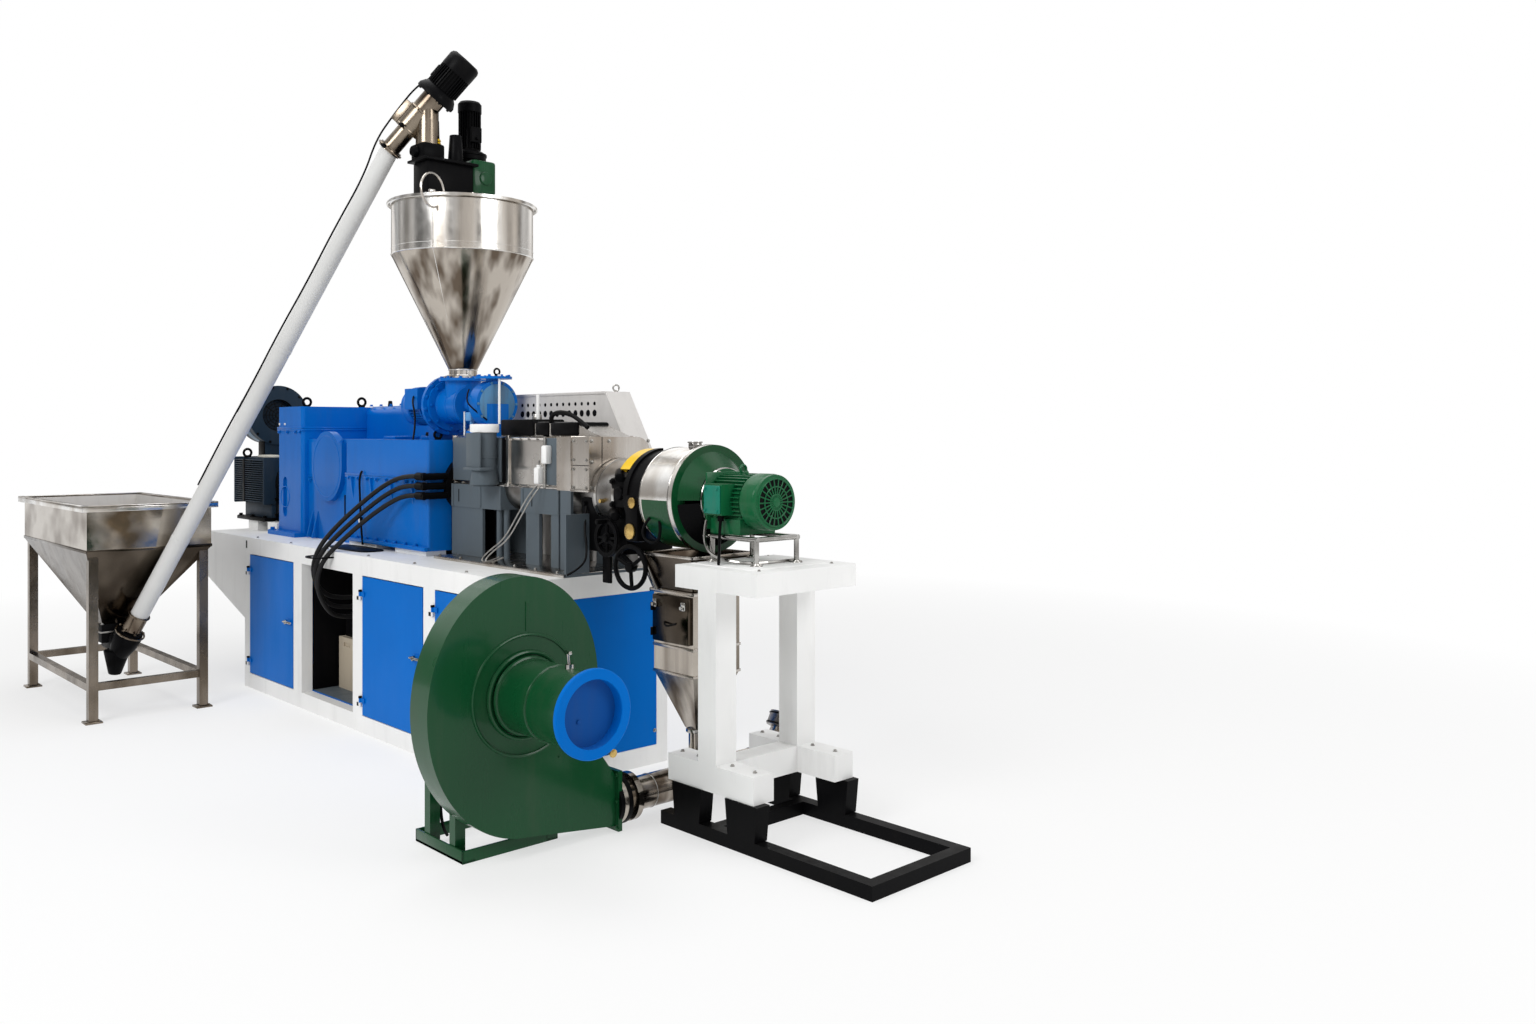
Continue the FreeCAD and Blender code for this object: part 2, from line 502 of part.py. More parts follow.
for y in ("-neck_half", "neck_half - leg_thick"):
    legs.append(box("neck_left + 30", y, BED_TOP, "80", "leg_thick", f"zone_split - {BED_TOP}"))
BED_RIGHT = "(barrel_end - bed_end_in)"
legs.append(box(f"{BED_RIGHT} - leg_thick", "-end_panel_left", BED_TOP, "leg_thick", "end_panel_deep",
                f"end_panel_high - {BED_TOP}"))
keep("barrel_stand", fuse(
    box("bed_left", "-bed_half - 12", "base_high", f"{BED_RIGHT} - bed_left", "2 * bed_half + 24",
        "bed_thick"),
    *legs))
keep("end_cover", around_barrel(fuse(
    box("neck_left", "-neck_half", "zone_split", "end_cover_left - neck_left", "2 * neck_half",
        "zone_top - zone_split"),
    rounded(
        prism("YZ", [("-end_cover_half", "zone_split"), ("end_cover_half", "zone_split"),
                     ("end_cover_half", "zone_top"), ("-end_cover_half", "zone_top")],
              "barrel_end - end_cover_left", x="end_cover_left"),
        "end_cover_round", lambda edge: (runs_along(edge, "X") and edge.CenterOfMass.y > 0
                                         and edge.CenterOfMass.z > size("zone_top") - 1)))))

# Rear guard: a perforated box behind the barrel with a sloped end.
guard = doc.addObject("PartDesign::Body", "Guard")
guard_pad = guard.newObject("PartDesign::Pad", "Pad")
guard_pad.Profile = outline(guard, "XZ_Plane", [
    ("guard_left", "base_high + bed_thick"), ("guard_right", "base_high + bed_thick"),
    ("guard_right", "guard_corner"), ("guard_flat", "guard_top"), ("guard_left", "guard_top")])
guard_pad.Reversed = True
bind(guard_pad, Length="guard_back - guard_front")
place(guard, "0", "guard_front", "0")
doc.recompute()


def hole_row(high, radius, first, count):
    """A row of round recesses in the front of the guard."""
    sketch = guard.newObject("Sketcher::SketchObject", "Holes")
    face = [f for f in guard.Origin.OriginFeatures if f.Role == "XZ_Plane"][0]
    sketch.AttachmentSupport = [(face, "")]
    sketch.MapMode = "FlatFace"
    start = FreeCAD.Vector(size("guard_flat"), size("guard_top"), 0)
    sketch.addGeometry(Part.Circle(start, FreeCAD.Vector(0, 0, 1), size(radius)), False)
    for kind, text, now in (("DistanceX", first, start.x), ("DistanceY", high, start.y)):
        number = sketch.addConstraint(Sketcher.Constraint(kind, -1, 1, 0, 3, now))
        sketch.setExpression(f"Constraints[{number}]", bound(text))
    number = sketch.addConstraint(Sketcher.Constraint("Radius", 0, size(radius)))
    sketch.setExpression(f"Constraints[{number}]", bound(radius))
    pocket = guard.newObject("PartDesign::Pocket", "Recess")
    pocket.Profile = sketch
    bind(pocket, Length="guard_recess")
    pocket.Reversed = False
    doc.recompute()
    before = guard_pad.Shape.Volume
    pocket.Reversed = pocket.Shape.isNull() or pocket.Shape.Volume > before - 1
    doc.recompute()
    pattern = guard.newObject("PartDesign::LinearPattern", "Row")
    pattern.Originals = [pocket]
    pattern.Direction = (sketch, ["H_Axis"])
    bind(pattern, Length=f"guard_hole_pitch * {count - 1}")
    pattern.Occurrences = count
    guard.Tip = pattern


hole_row("guard_hole_high", "guard_hole", "guard_left + 90", 13)
hole_row("guard_slot_high", "guard_slot", "guard_left + 90", 13)
keep("rear_guard", guard)

# Die head: adaptor, clamp and die ring on the screw axis, the block below them and a handwheel.
CLAMP_LEFT = "(barrel_end + adaptor_long)"
RING_LEFT = "(barrel_end + adaptor_long + clamp_long)"
keep("die_head", fuse(
    rod("X", "barrel_end", "0", "screw_high", "adaptor_radius", "adaptor_long"),
    rod("X", CLAMP_LEFT, "0", "screw_high", "clamp_radius", "clamp_long"),
    rod("X", RING_LEFT, "0", "screw_high", "die_ring_radius",
        "drum_left - die_gap - barrel_end - adaptor_long - clamp_long")))
DIE_RIGHT = "(barrel_end - die_block_in + die_block_long)"
WHEEL_X = "(barrel_end + wheel_at)"
WHEEL_Y = "(-die_block_half - wheel_out)"
keep("die_block", cut(fuse(
    box("barrel_end - die_block_in", "-die_block_half", "die_block_low", "die_block_long", "2 * die_block_half",
        "screw_high - die_block_low - 20"),
    rod("-Y", WHEEL_X, "-die_block_half", "wheel_high", "wheel_shaft - 10", "wheel_out"),
    rod("-Y", WHEEL_X, f"{WHEEL_Y} + 10", "wheel_high", "wheel_shaft", "16")),
    rod("X", "barrel_end - die_block_in - 5", "0", "screw_high", "barrel_radius + hot_play",
        "die_block_in + 10"),
    rod("X", "barrel_end - hot_play", "0", "screw_high", "adaptor_radius + hot_play",
        "adaptor_long + 2 * hot_play"),
    rod("X", CLAMP_LEFT, "0", "screw_high", "clamp_radius + hot_play", "clamp_long")))
keep("handwheel", cut(
    fuse(
        cut(rod("Y", WHEEL_X, f"{WHEEL_Y} - wheel_rim", "wheel_high", "wheel_radius + wheel_rim",
                "2 * wheel_rim"),
            rod("Y", WHEEL_X, f"{WHEEL_Y} - wheel_rim", "wheel_high", "wheel_radius - wheel_rim",
                "2 * wheel_rim")),
        rod("X", f"{WHEEL_X} - wheel_radius", WHEEL_Y, "wheel_high", "6", "2 * wheel_radius"),
        rod("Z", WHEEL_X, WHEEL_Y, "wheel_high - wheel_radius", "6", "2 * wheel_radius")),
    rod("-Y", WHEEL_X, "-die_block_half", "wheel_high", "wheel_shaft + hot_play", "wheel_out + 30")))

# Force feeder: gear motor, feed body with its inlet, and the end drum above the barrel throat.
FEED_GEAR = "(feed_body_left - feed_flange_thick - feed_gear_long)"
FEED_MOTOR = "(feed_body_left - feed_flange_thick - feed_gear_long - feed_motor_long)"
COWL_LEFT = "(feed_body_left - feed_flange_thick - feed_gear_long - feed_motor_long - cowl_long)"
keep("feeder_drive", fuse(
    rod("X", "feed_body_left - feed_flange_thick", "0", "feed_high", "feed_flange_radius", "feed_flange_thick"),
    taper("X", FEED_GEAR, "0", "feed_high", "feed_motor_radius", "feed_gear_radius", "feed_gear_long"),
    rod("X", FEED_MOTOR, "0", "feed_high", "feed_motor_radius", "feed_motor_long"),
    rod("X", COWL_LEFT, "0", "feed_high", "cowl_radius", "cowl_long"),
    box(f"{FEED_MOTOR} + 20", "-feed_motor_radius - 45", "feed_high - 20", "feed_motor_long + 10", "60", "110"),
    box(f"{FEED_GEAR} + 20", "-60", "gear_top", "70", "120", "feed_high - gear_top - 40")))
keep("feeder_body", fuse(
    rod("X", "feed_body_left", "0", "feed_high", "feed_body_radius", "feed_body_right - feed_body_left"),
    rod("Z", "feed_at", "0", "feed_high", "feed_body_radius - 6", "inlet_top - feed_high"),
    rod("Z", "feed_at", "0", "inlet_top - inlet_flange_thick", "inlet_flange_radius", "inlet_flange_thick"),
    rod("X", "feed_body_left", "0", "feed_high", "feed_flange_radius - 22", "16"),
    rod("X", "feed_body_right", "0", "feed_high", "feed_tube_radius", "drum_left_feed - feed_body_right"),
    rod("X", "drum_left_feed", "0", "feed_high", "drum_radius_feed", "drum_right_feed - drum_left_feed"),
    rod("Z", "(drum_left_feed + drum_right_feed) / 2", "0", "feed_high", "36", "inlet_top - feed_high"),
    rod("Z", "(drum_left_feed + drum_right_feed) / 2", "0", "inlet_top - 12", "drum_flange_radius", "12"),
    box("(drum_left_feed + drum_right_feed) / 2 - chute_long / 2", "-chute_deep / 2", "zone_top", "chute_long",
        "chute_deep", "26"),
    box("(drum_left_feed + drum_right_feed) / 2 - 45", "-60", "zone_top", "90", "120", "feed_high - zone_top")))

# Hopper: a cylinder on a cone, open inside, with a rolled rim and a bolted neck collar.
HOPPER_LOW = "(hopper_neck - collar_high)"
outer = [("neck_radius", "0"), ("collar_radius + 22", "0"), ("collar_radius + 22", "10"),
         ("neck_radius + hopper_wall", "10"), ("neck_radius + hopper_wall", "collar_high"),
         ("hopper_radius", "hopper_seam - hopper_neck + collar_high"),
         ("hopper_radius", "hopper_rim - hopper_neck + collar_high - rim_high"),
         ("hopper_radius + rim_out", "hopper_rim - hopper_neck + collar_high - rim_high"),
         ("hopper_radius + rim_out", "hopper_rim - hopper_neck + collar_high"),
         ("hopper_radius - hopper_wall", "hopper_rim - hopper_neck + collar_high"),
         ("hopper_radius - hopper_wall", "hopper_seam - hopper_neck + collar_high + 1"),
         ("neck_radius", "collar_high + 2")]
keep("hopper_shell", turned("Z", "feed_at", "0", "inlet_top", outer))
HOPPER_TOP = "(inlet_top + hopper_rim - hopper_neck + collar_high)"
keep("hopper_lid", rod("Z", "feed_at", "0", HOPPER_TOP, "hopper_radius + rim_out - 3", "lid_thick"))
LID_TOP = "(inlet_top + hopper_rim - hopper_neck + collar_high + lid_thick)"
keep("agitator_gearbox", fuse(
    box("agitator_at - agitator_half", "agitator_back - agitator_half", LID_TOP, "2 * agitator_half",
        "2 * agitator_half", "agitator_high"),
    rod("Z", "agitator_at", "agitator_back", f"{LID_TOP} + agitator_high", "agitator_step", "45"),
    box("agitator_at + agitator_half", "agitator_back - 50", f"{LID_TOP} + 40", "90", "100", "95")))
keep("agitator_motor", fuse(
    box("agitator_at + agitator_half + 90", "agitator_back - 45", f"{LID_TOP} + 30", "90", "90", "120"),
    rod("Z", "agitator_at + agitator_half + 135", "agitator_back", f"{LID_TOP} + 150",
        "lid_flange_radius", "14"),
    rod("Z", "agitator_at + agitator_half + 135", "agitator_back", f"{LID_TOP} + 164", "lid_motor_radius",
        "lid_motor_long")))

# Loading bin: an open stainless box over a pyramid, on a square-tube stand.
MOUTH_X = "(-bin_left + mouth_in_x)"
MOUTH_Y = "(-bin_front + mouth_in_y)"
OVER_X = "(bin_long / 2 - mouth_in_x)"
OVER_Y = "(bin_deep / 2 - mouth_in_y)"
BIN_LOW = "(bin_wall_low - bin_mouth_high)"
WALL_HIGH = "(bin_rim_high - bin_wall_low)"
LIP_LOW = "(bin_rim_high - bin_lip_thick)"
walls = []
for y in ("-bin_front", "-bin_front + bin_deep - bin_wall"):
    walls.append(box("-bin_left", y, "bin_wall_low", "bin_long", "bin_wall", WALL_HIGH))
for x in ("-bin_left", "-bin_left + bin_long - bin_wall"):
    walls.append(box(x, "-bin_front + bin_wall", "bin_wall_low", "bin_wall", "bin_deep - 2 * bin_wall",
                     WALL_HIGH))
for y in ("-bin_front - bin_lip", "-bin_front + bin_deep"):
    walls.append(box("-bin_left - bin_lip", y, LIP_LOW, "bin_long + 2 * bin_lip", "bin_lip", "bin_lip_thick"))
for x in ("-bin_left - bin_lip", "-bin_left + bin_long"):
    walls.append(box(x, "-bin_front", LIP_LOW, "bin_lip", "bin_deep", "bin_lip_thick"))
keep("bin_shell", apart(*walls, cut(
    frustum(MOUTH_X, MOUTH_Y, "bin_mouth_high", "bin_mouth", "bin_mouth", "bin_long", "bin_deep", BIN_LOW,
            OVER_X, OVER_Y),
    frustum(MOUTH_X, MOUTH_Y, "bin_mouth_high", "bin_mouth - 2 * bin_wall", "bin_mouth - 2 * bin_wall",
            "bin_long - 2 * bin_wall", "bin_deep - 2 * bin_wall", BIN_LOW, OVER_X, OVER_Y))))
LEG_A = "(-bin_left + bin_leg_in)"
LEG_B = "(-bin_left + bin_long - bin_leg_in - bin_leg)"
LEG_C = "(-bin_front + bin_leg_in)"
LEG_D = "(-bin_front + bin_deep - bin_leg_in - bin_leg)"
stand_pieces = []
for x in (LEG_A, LEG_B):
    for y in (LEG_C, LEG_D):
        stand_pieces.append(box(x, y, "bin_foot_thick", "bin_leg", "bin_leg", "bin_wall_low - bin_foot_thick"))
        stand_pieces.append(box(f"{x} + bin_leg / 2 - bin_foot / 2", f"{y} + bin_leg / 2 - bin_foot / 2", "0",
                                "bin_foot", "bin_foot", "bin_foot_thick"))
for y in (LEG_C, LEG_D):
    stand_pieces.append(box(LEG_A, y, "bin_rail_high", f"{LEG_B} - {LEG_A}", "bin_rail", "bin_rail"))
for x in (LEG_A, LEG_B):
    stand_pieces.append(box(x, LEG_C, "bin_rail_high", "bin_rail", f"{LEG_D} - {LEG_C}", "bin_rail"))
keep("bin_stand", cut(
    fuse(*stand_pieces),
    frustum(MOUTH_X, MOUTH_Y, "bin_mouth_high - hot_play", "bin_mouth + hot_play", "bin_mouth + hot_play",
            "bin_long + hot_play", "bin_deep + hot_play", BIN_LOW, OVER_X, OVER_Y),
    box("-bin_left", "-bin_front", "bin_wall_low - hot_play - 0.1", "bin_long", "bin_deep", "5")))

# Inclined auger from the bin to the hopper. Its head is set flatter than the tube and feeds a vertical spout.
lid_top = sum(size(a) for a in ("inlet_top", "hopper_rim", "collar_high", "lid_thick")) - size("hopper_neck")
foot = FreeCAD.Vector(-size("auger_foot_x"), -size("auger_foot_y"), size("auger_foot_z"))
meeting = FreeCAD.Vector(size("spout_at"), -size("spout_front"), lid_top + size("spout_up"))
head_way = FreeCAD.Vector(size("lean_x"), size("lean_y"), size("lean_z")).normalize()
elbow = meeting - head_way * size("head_reach")
way = (elbow - foot).normalize()
span = elbow.distanceToPoint(foot)


def tilted(origin, direction, start, radius, long):
    """A round piece on the tilted axis through origin, start measured from there."""
    piece = doc.addObject("Part::Cylinder", "Tilted")
    bind(piece, Radius=radius, Height=long)
    piece.Placement = FreeCAD.Placement(origin + direction * start,
                                        FreeCAD.Rotation(FreeCAD.Vector(0, 0, 1), direction))
    return piece


clamp_start = -size("joint_long") / 2
box_start = clamp_start + size("joint_long") + size("head_tube")
body_start = box_start + size("joint_long") + size("auger_box_long")
flange_start = body_start + size("head_body_long")
motor_start = flange_start + size("auger_flange_thick")
keep("auger_tube", cut(
    fuse(tilted(foot, way, size("boot_long"), "auger_radius", span - size("boot_long")),
         tilted(foot, way, span * 0.24, "joint_radius", "joint_long"),
         tilted(foot, way, span * 0.62, "joint_radius", "joint_long")),
    tilted(elbow, head_way, clamp_start, "joint_radius + 1", span)))
keep("auger_boot", fuse(
    tilted(foot, way, 0, "boot_radius", "boot_long"),
    cut(box(f"{MOUTH_X} - gate_half", f"{MOUTH_Y} - gate_half", "bin_mouth_high - gate_high", "2 * gate_half",
            "2 * gate_half", "gate_high"),
        box(f"{MOUTH_X} - bin_mouth / 2 + bin_wall", f"{MOUTH_Y} - bin_mouth / 2 + bin_wall",
            "bin_mouth_high - gate_high + 20", "bin_mouth - 2 * bin_wall", "bin_mouth - 2 * bin_wall",
            "gate_high"))))
keep("auger_head", fuse(
    rod("Z", "spout_at", "-spout_front", LID_TOP, "spout_radius", "spout_up"),
    rod("Z", "spout_at", "-spout_front", LID_TOP, "spout_flange_radius", "spout_flange_thick"),
    tilted(elbow, head_way, clamp_start, "joint_radius", "joint_long"),
    tilted(elbow, head_way, 0, "auger_radius", "head_reach"),
    tilted(elbow, head_way, box_start, "joint_radius + 6", "joint_long"),
    tilted(elbow, head_way, box_start, "auger_box", "auger_box_long + joint_long"),
    tilted(elbow, head_way, body_start, "head_body_radius", "head_body_long"),
    tilted(elbow, head_way, flange_start, "auger_flange_radius", "auger_flange_thick")))
keep("auger_motor", fuse(
    tilted(elbow, head_way, motor_start, "auger_motor_radius", "auger_motor_long"),
    tilted(elbow, head_way, motor_start + size("auger_motor_long"), "auger_motor_radius + 8",
           "auger_cowl_long")))

# Cutter carriage: drum, half cover, motor, round-bar frame, table, legs and rail brackets.
DRUM_LONG = "(drum_right - drum_left)"
keep("cutter_drum", turned("X", "drum_left", "0", "screw_high", [
    ("cutter_hub_radius", f"{DRUM_LONG} - drum_wall"), ("drum_radius - drum_wall", f"{DRUM_LONG} - drum_wall"),
    ("drum_radius - drum_wall", "0"), ("drum_radius", "0"),
    ("drum_radius", f"{DRUM_LONG} - drum_rim_long"),
    ("drum_radius + drum_rim_out", f"{DRUM_LONG} - drum_rim_long"),
    ("drum_radius + drum_rim_out", DRUM_LONG), ("cutter_hub_radius", DRUM_LONG)]))
keep("cutter_cover", cut(
    taper("X", "drum_right", "0", "screw_high", "drum_radius - 12", "knife_flange_radius + 4",
          "knife_motor_left - drum_right"),
    box("drum_right - 1", "-drum_radius", "screw_high - drum_radius", "knife_motor_left - drum_right + 2",
        "2 * drum_radius", "drum_radius")))
KNIFE_BODY = "(knife_motor_left + knife_flange_thick)"
keep("cutter_motor", fuse(
    rod("X", "knife_motor_left", "0", "screw_high", "knife_flange_radius", "knife_flange_thick"),
    rod("X", KNIFE_BODY, "0", "screw_high", "knife_body_radius", "knife_body_long"),
    rod("X", f"{KNIFE_BODY} + knife_body_long", "0", "screw_high", "knife_cowl_radius", "knife_cowl_long"),
    box(f"{KNIFE_BODY} + 40", "-knife_box_out", "screw_high - 50", "knife_box_long", "knife_box_out",
        "knife_box_high"),
    box(f"{KNIFE_BODY} + 10", "-knife_foot_half", "bar_high + bar_radius", "knife_body_long - 20",
        "2 * knife_foot_half", "screw_high - bar_high - bar_radius - knife_body_radius + 25")))
keep("motor_frame", fuse(
    *[rod("X", "bar_left - bar_over", y, "bar_high", "bar_radius",
          "bar_right - bar_left + bar_over + bar_radius")
      for y in ("-bar_front", "bar_front")],
    *[rod("Y", x, "-bar_front", "bar_high", "bar_radius", "2 * bar_front") for x in ("bar_left", "bar_right")],
    *[rod("Z", x, y, "table_top", "bar_radius", "bar_high - table_top")
      for x in ("bar_left", "bar_right") for y in ("-bar_front", "bar_front")],
    *[rod("Z", x, y, "table_top", "pad_radius", "pad_high")
      for x in ("bar_left", "bar_right") for y in ("-bar_front", "bar_front")]))
keep("stand_table", box("table_left", "-table_half", "table_top - table_thick", "table_long", "2 * table_half",
                        "table_thick"))
BEAM_UP = "(beam_low + beam_thick)"
keep("stand_legs", fuse(
    *[box("beam_left", y, "beam_low", "beam_long", "post_side", "beam_thick")
      for y in ("-table_half", "table_half - post_side")],
    box("post_left", "-table_half", "beam_low", "post_side", "2 * table_half", "beam_thick"),
    *[box("post_left", y, "beam_low", "post_side", "post_side", "table_top - table_thick - beam_low")
      for y in ("-table_half", "table_half - post_side")]))
RAIL_MID = "(rail_apart / 2)"
brackets = []
for x in ("bracket_1", "bracket_2"):
    for side in ("-", ""):
        brackets.append(prism("XZ", [
            (x, "beam_low"), (f"{x} + bracket_slope", "rail_side + slide_play"),
            (f"{x} + bracket_long - bracket_slope", "rail_side + slide_play"),
            (f"{x} + bracket_long", "beam_low")],
            "bracket_wide", y=f"{side}{RAIL_MID} - bracket_wide / 2"))
keep("rail_brackets", apart(*brackets))
keep("floor_rails", apart(*[
    box("rail_left", f"{side}{RAIL_MID} - rail_side / 2", "0", "rail_long", "rail_side", "rail_side")
    for side in ("-", "")]))
keep("rail_cross_bars", apart(*[
    box(x, f"-{RAIL_MID} + rail_side / 2", "0", "rail_side", "rail_apart - rail_side", "rail_side")
    for x in ("rail_cross", "rail_left + rail_long - rail_side")]))

# Collector: an open mouth under the drum, a square box, a pyramid and the drop pipe.
MOUTH_HIGH = "(collector_top - collector_ledge)"
keep("collector_mouth", cut(
    fuse(box(DIE_RIGHT, "-14", "die_block_low - 15", f"collector_at - collector_mouth / 2 + 10 - {DIE_RIGHT}",
             "28", "30"),
         frustum("collector_at", "0", "collector_ledge", "collector_side", "collector_side", "collector_mouth",
                 "collector_mouth", MOUTH_HIGH),
         box("collector_at - collector_side / 2 - collector_lip", "-collector_side / 2 - collector_lip",
             "collector_ledge", "collector_side + 2 * collector_lip",
             "collector_side + 2 * collector_lip", "8")),
    frustum("collector_at", "0", "collector_ledge", "collector_side - 2 * collector_wall",
            "collector_side - 2 * collector_wall", "collector_mouth - 2 * collector_wall",
            "collector_mouth - 2 * collector_wall", MOUTH_HIGH)))
BOX_HIGH = "(collector_ledge - collector_low)"
CONE_HIGH = "(collector_low - collector_neck)"
PIPE_TOP = "(pipe_high + pipe_radius * 0.8)"
keep("collector_box", cut(
    fuse(box("collector_at - collector_side / 2", "-collector_side / 2", "collector_low", "collector_side",
             "collector_side", BOX_HIGH),
         frustum("collector_at", "0", "collector_neck", "2 * drop_radius", "2 * drop_radius", "collector_side",
                 "collector_side", CONE_HIGH),
         rod("Z", "collector_at", "0", "pipe_high + pipe_radius + 30", "drop_radius",
             "collector_neck - pipe_high - pipe_radius - 30 + 20")),
    box("collector_at - collector_side / 2 + collector_wall", "-collector_side / 2 + collector_wall",
        "collector_low", "collector_side - 2 * collector_wall", "collector_side - 2 * collector_wall",
        f"{BOX_HIGH} + 1"),
    frustum("collector_at", "0", "collector_neck", "2 * drop_radius - 2 * collector_wall",
            "2 * drop_radius - 2 * collector_wall", "collector_side - 2 * collector_wall",
            "collector_side - 2 * collector_wall", CONE_HIGH)))

# Blower: spiral housing in a plane across the machine, inlet on its outer face, motor behind it.
BLOWER = "(collector_at + scroll_deep / 2)"
scroll_y, scroll_z = -size("scroll_centre_y"), size("scroll_high")


def spiral():
    """Scroll outline: radius grows from the tongue round to the outlet, which leaves low down towards +Y."""
    points = []
    for i in range(49):
        turn = math.radians(-30 + i * 300 / 48)
        radius = size("scroll_radius") + size("scroll_grow") * i / 48
        points.append(FreeCAD.Vector(0, scroll_y + radius * size("scroll_narrow") * math.cos(turn),
                                     scroll_z + radius * math.sin(turn)))
    return points


curve = Part.BSplineCurve()
curve.interpolate(spiral())
end_y, low_z = -size("outlet_end"), size("outlet_low")
corners = [curve.EndPoint, FreeCAD.Vector(0, end_y, low_z),
           FreeCAD.Vector(0, end_y, low_z + size("outlet_high")), curve.StartPoint]
edges = [curve.toShape()] + [Part.makeLine(a, b) for a, b in zip(corners, corners[1:])]
scroll = doc.addObject("Part::Feature", "Scroll")
scroll.Shape = Part.Face(Part.Wire(edges)).extrude(FreeCAD.Vector(-size("scroll_deep"), 0, 0))
scroll.Placement = FreeCAD.Placement(
    FreeCAD.Vector(size("collector_at") + size("scroll_deep") / 2, 0, 0), FreeCAD.Rotation())
keep("blower_scroll", fuse(
    scroll,
    rod("X", BLOWER, "-scroll_centre_y", "scroll_high", "inlet_boss", "10"),
    rod("X", BLOWER, "-scroll_centre_y", "scroll_high", "inlet_radius", "inlet_long"),
    cut(rod("X", f"{BLOWER} + inlet_long", "-scroll_centre_y", "scroll_high", "inlet_flange", "inlet_ring"),
        rod("X", f"{BLOWER} + inlet_long + 4", "-scroll_centre_y", "scroll_high", "inlet_radius - 4",
            "inlet_ring")),
    box(f"{BLOWER} - scroll_deep - 18", "-outlet_end", "outlet_low - 18", "scroll_deep + 36", "outlet_flange",
        "outlet_high + 36")))
keep("blower_motor", fuse(
    rod("-X", f"{BLOWER} - scroll_deep", "-scroll_centre_y", "scroll_high", "fan_motor_radius + 25", "14"),
    rod("-X", f"{BLOWER} - scroll_deep - 14", "-scroll_centre_y", "scroll_high", "fan_motor_radius",
        "fan_motor_long"),
    rod("-X", f"{BLOWER} - scroll_deep - 14 - fan_motor_long", "-scroll_centre_y", "scroll_high",
        "fan_motor_radius + 8", "60")))
FAN_LEFT = f"({BLOWER} - scroll_deep - 14 - fan_motor_long)"
FAN_LOW = "(scroll_high - fan_motor_radius - 30)"
keep("blower_stand", fuse(
    box(f"{FAN_LEFT} + 20", "-scroll_centre_y - fan_stand_half", FAN_LOW, "fan_motor_long - 40",
        "2 * fan_stand_half", "12"),
    box(f"{FAN_LEFT} + 60", "-scroll_centre_y - fan_saddle_half", f"{FAN_LOW} + 12", "fan_motor_long - 120",
        "2 * fan_saddle_half", "18 - hot_play"),
    *[box(x, y, "0", "fan_leg", "fan_leg", FAN_LOW)
      for x in (f"{FAN_LEFT} + 20", f"{FAN_LEFT} + fan_motor_long - 20 - fan_leg")
      for y in ("-scroll_centre_y - fan_stand_half", "-scroll_centre_y + fan_stand_half - fan_leg")]))

# Pick-up pipe along the floor, turned up at its far end, and the coupling for the conveying pipe.
pipe_x = size("collector_at")
pipe_y0 = -size("outlet_end") + size("outlet_flange")
pipe_z = size("pipe_high")
turn_y, turn_r, rise = size("pipe_turn_at"), size("pipe_turn"), math.radians(62)
mid = FreeCAD.Vector(pipe_x, turn_y + turn_r * math.sin(rise / 2), pipe_z + turn_r * (1 - math.cos(rise / 2)))
tip = FreeCAD.Vector(pipe_x, turn_y + turn_r * math.sin(rise), pipe_z + turn_r * (1 - math.cos(rise)))
out = FreeCAD.Vector(0, math.cos(rise), math.sin(rise))
begin = FreeCAD.Vector(pipe_x, pipe_y0, pipe_z)
bend = FreeCAD.Vector(pipe_x, turn_y, pipe_z)
path = Part.Wire([Part.makeLine(begin, bend), Part.Arc(bend, mid, tip).toShape()])
section = Part.Wire([Part.makeCircle(size("pipe_radius"), begin, FreeCAD.Vector(0, 1, 0))])
pipe = doc.addObject("Part::Feature", "Pipe")
pipe.Shape = path.makePipeShell([section], True, False)
keep("pickup_pipe", fuse(
    pipe,
    rod("Y", "collector_at", "-outlet_end + outlet_flange", "pipe_high", "pipe_flange_radius", "30"),
    rod("Y", "collector_at", "-outlet_end + outlet_flange + 70", "pipe_high", "pipe_flange_radius", "24"),
    rod("Z", "collector_at", "0", "pipe_high", "drop_radius + 8", "pipe_radius + 30")))
coupling = cut(
    rod("Z", "0", "0", "0", "coupling_radius", "coupling_long"),
    rod("Z", "0", "0", "0", "coupling_bore", "coupling_long"))
coupling.Placement = FreeCAD.Placement(tip, FreeCAD.Rotation(FreeCAD.Vector(0, 0, 1), out))
keep("pipe_coupling", coupling)


def route(points):
    """A path of straight runs joined by tangent arcs, and the radii of those arcs."""
    edges, radii, last = [], [], points[0]
    for before, corner, after in zip(points, points[1:], points[2:]):
        inward, onward = (corner - before), (after - corner)
        short = min(inward.Length, onward.Length)
        turn = inward.getAngle(onward)
        cutback = 0.45 * short
        radii.append(cutback / math.tan(turn / 2))
        start = corner - inward.normalize() * cutback
        stop = corner + onward.normalize() * cutback
        toward = (start + stop) * 0.5 - corner
        centre = corner + toward.normalize() * (radii[-1] / math.cos(turn / 2))
        middle = centre + (corner - centre).normalize() * radii[-1]
        edges.append(Part.makeLine(last, start))
        edges.append(Part.Arc(start, middle, stop).toShape())
        last = stop
    edges.append(Part.makeLine(last, points[-1]))
    return Part.Wire(edges), radii


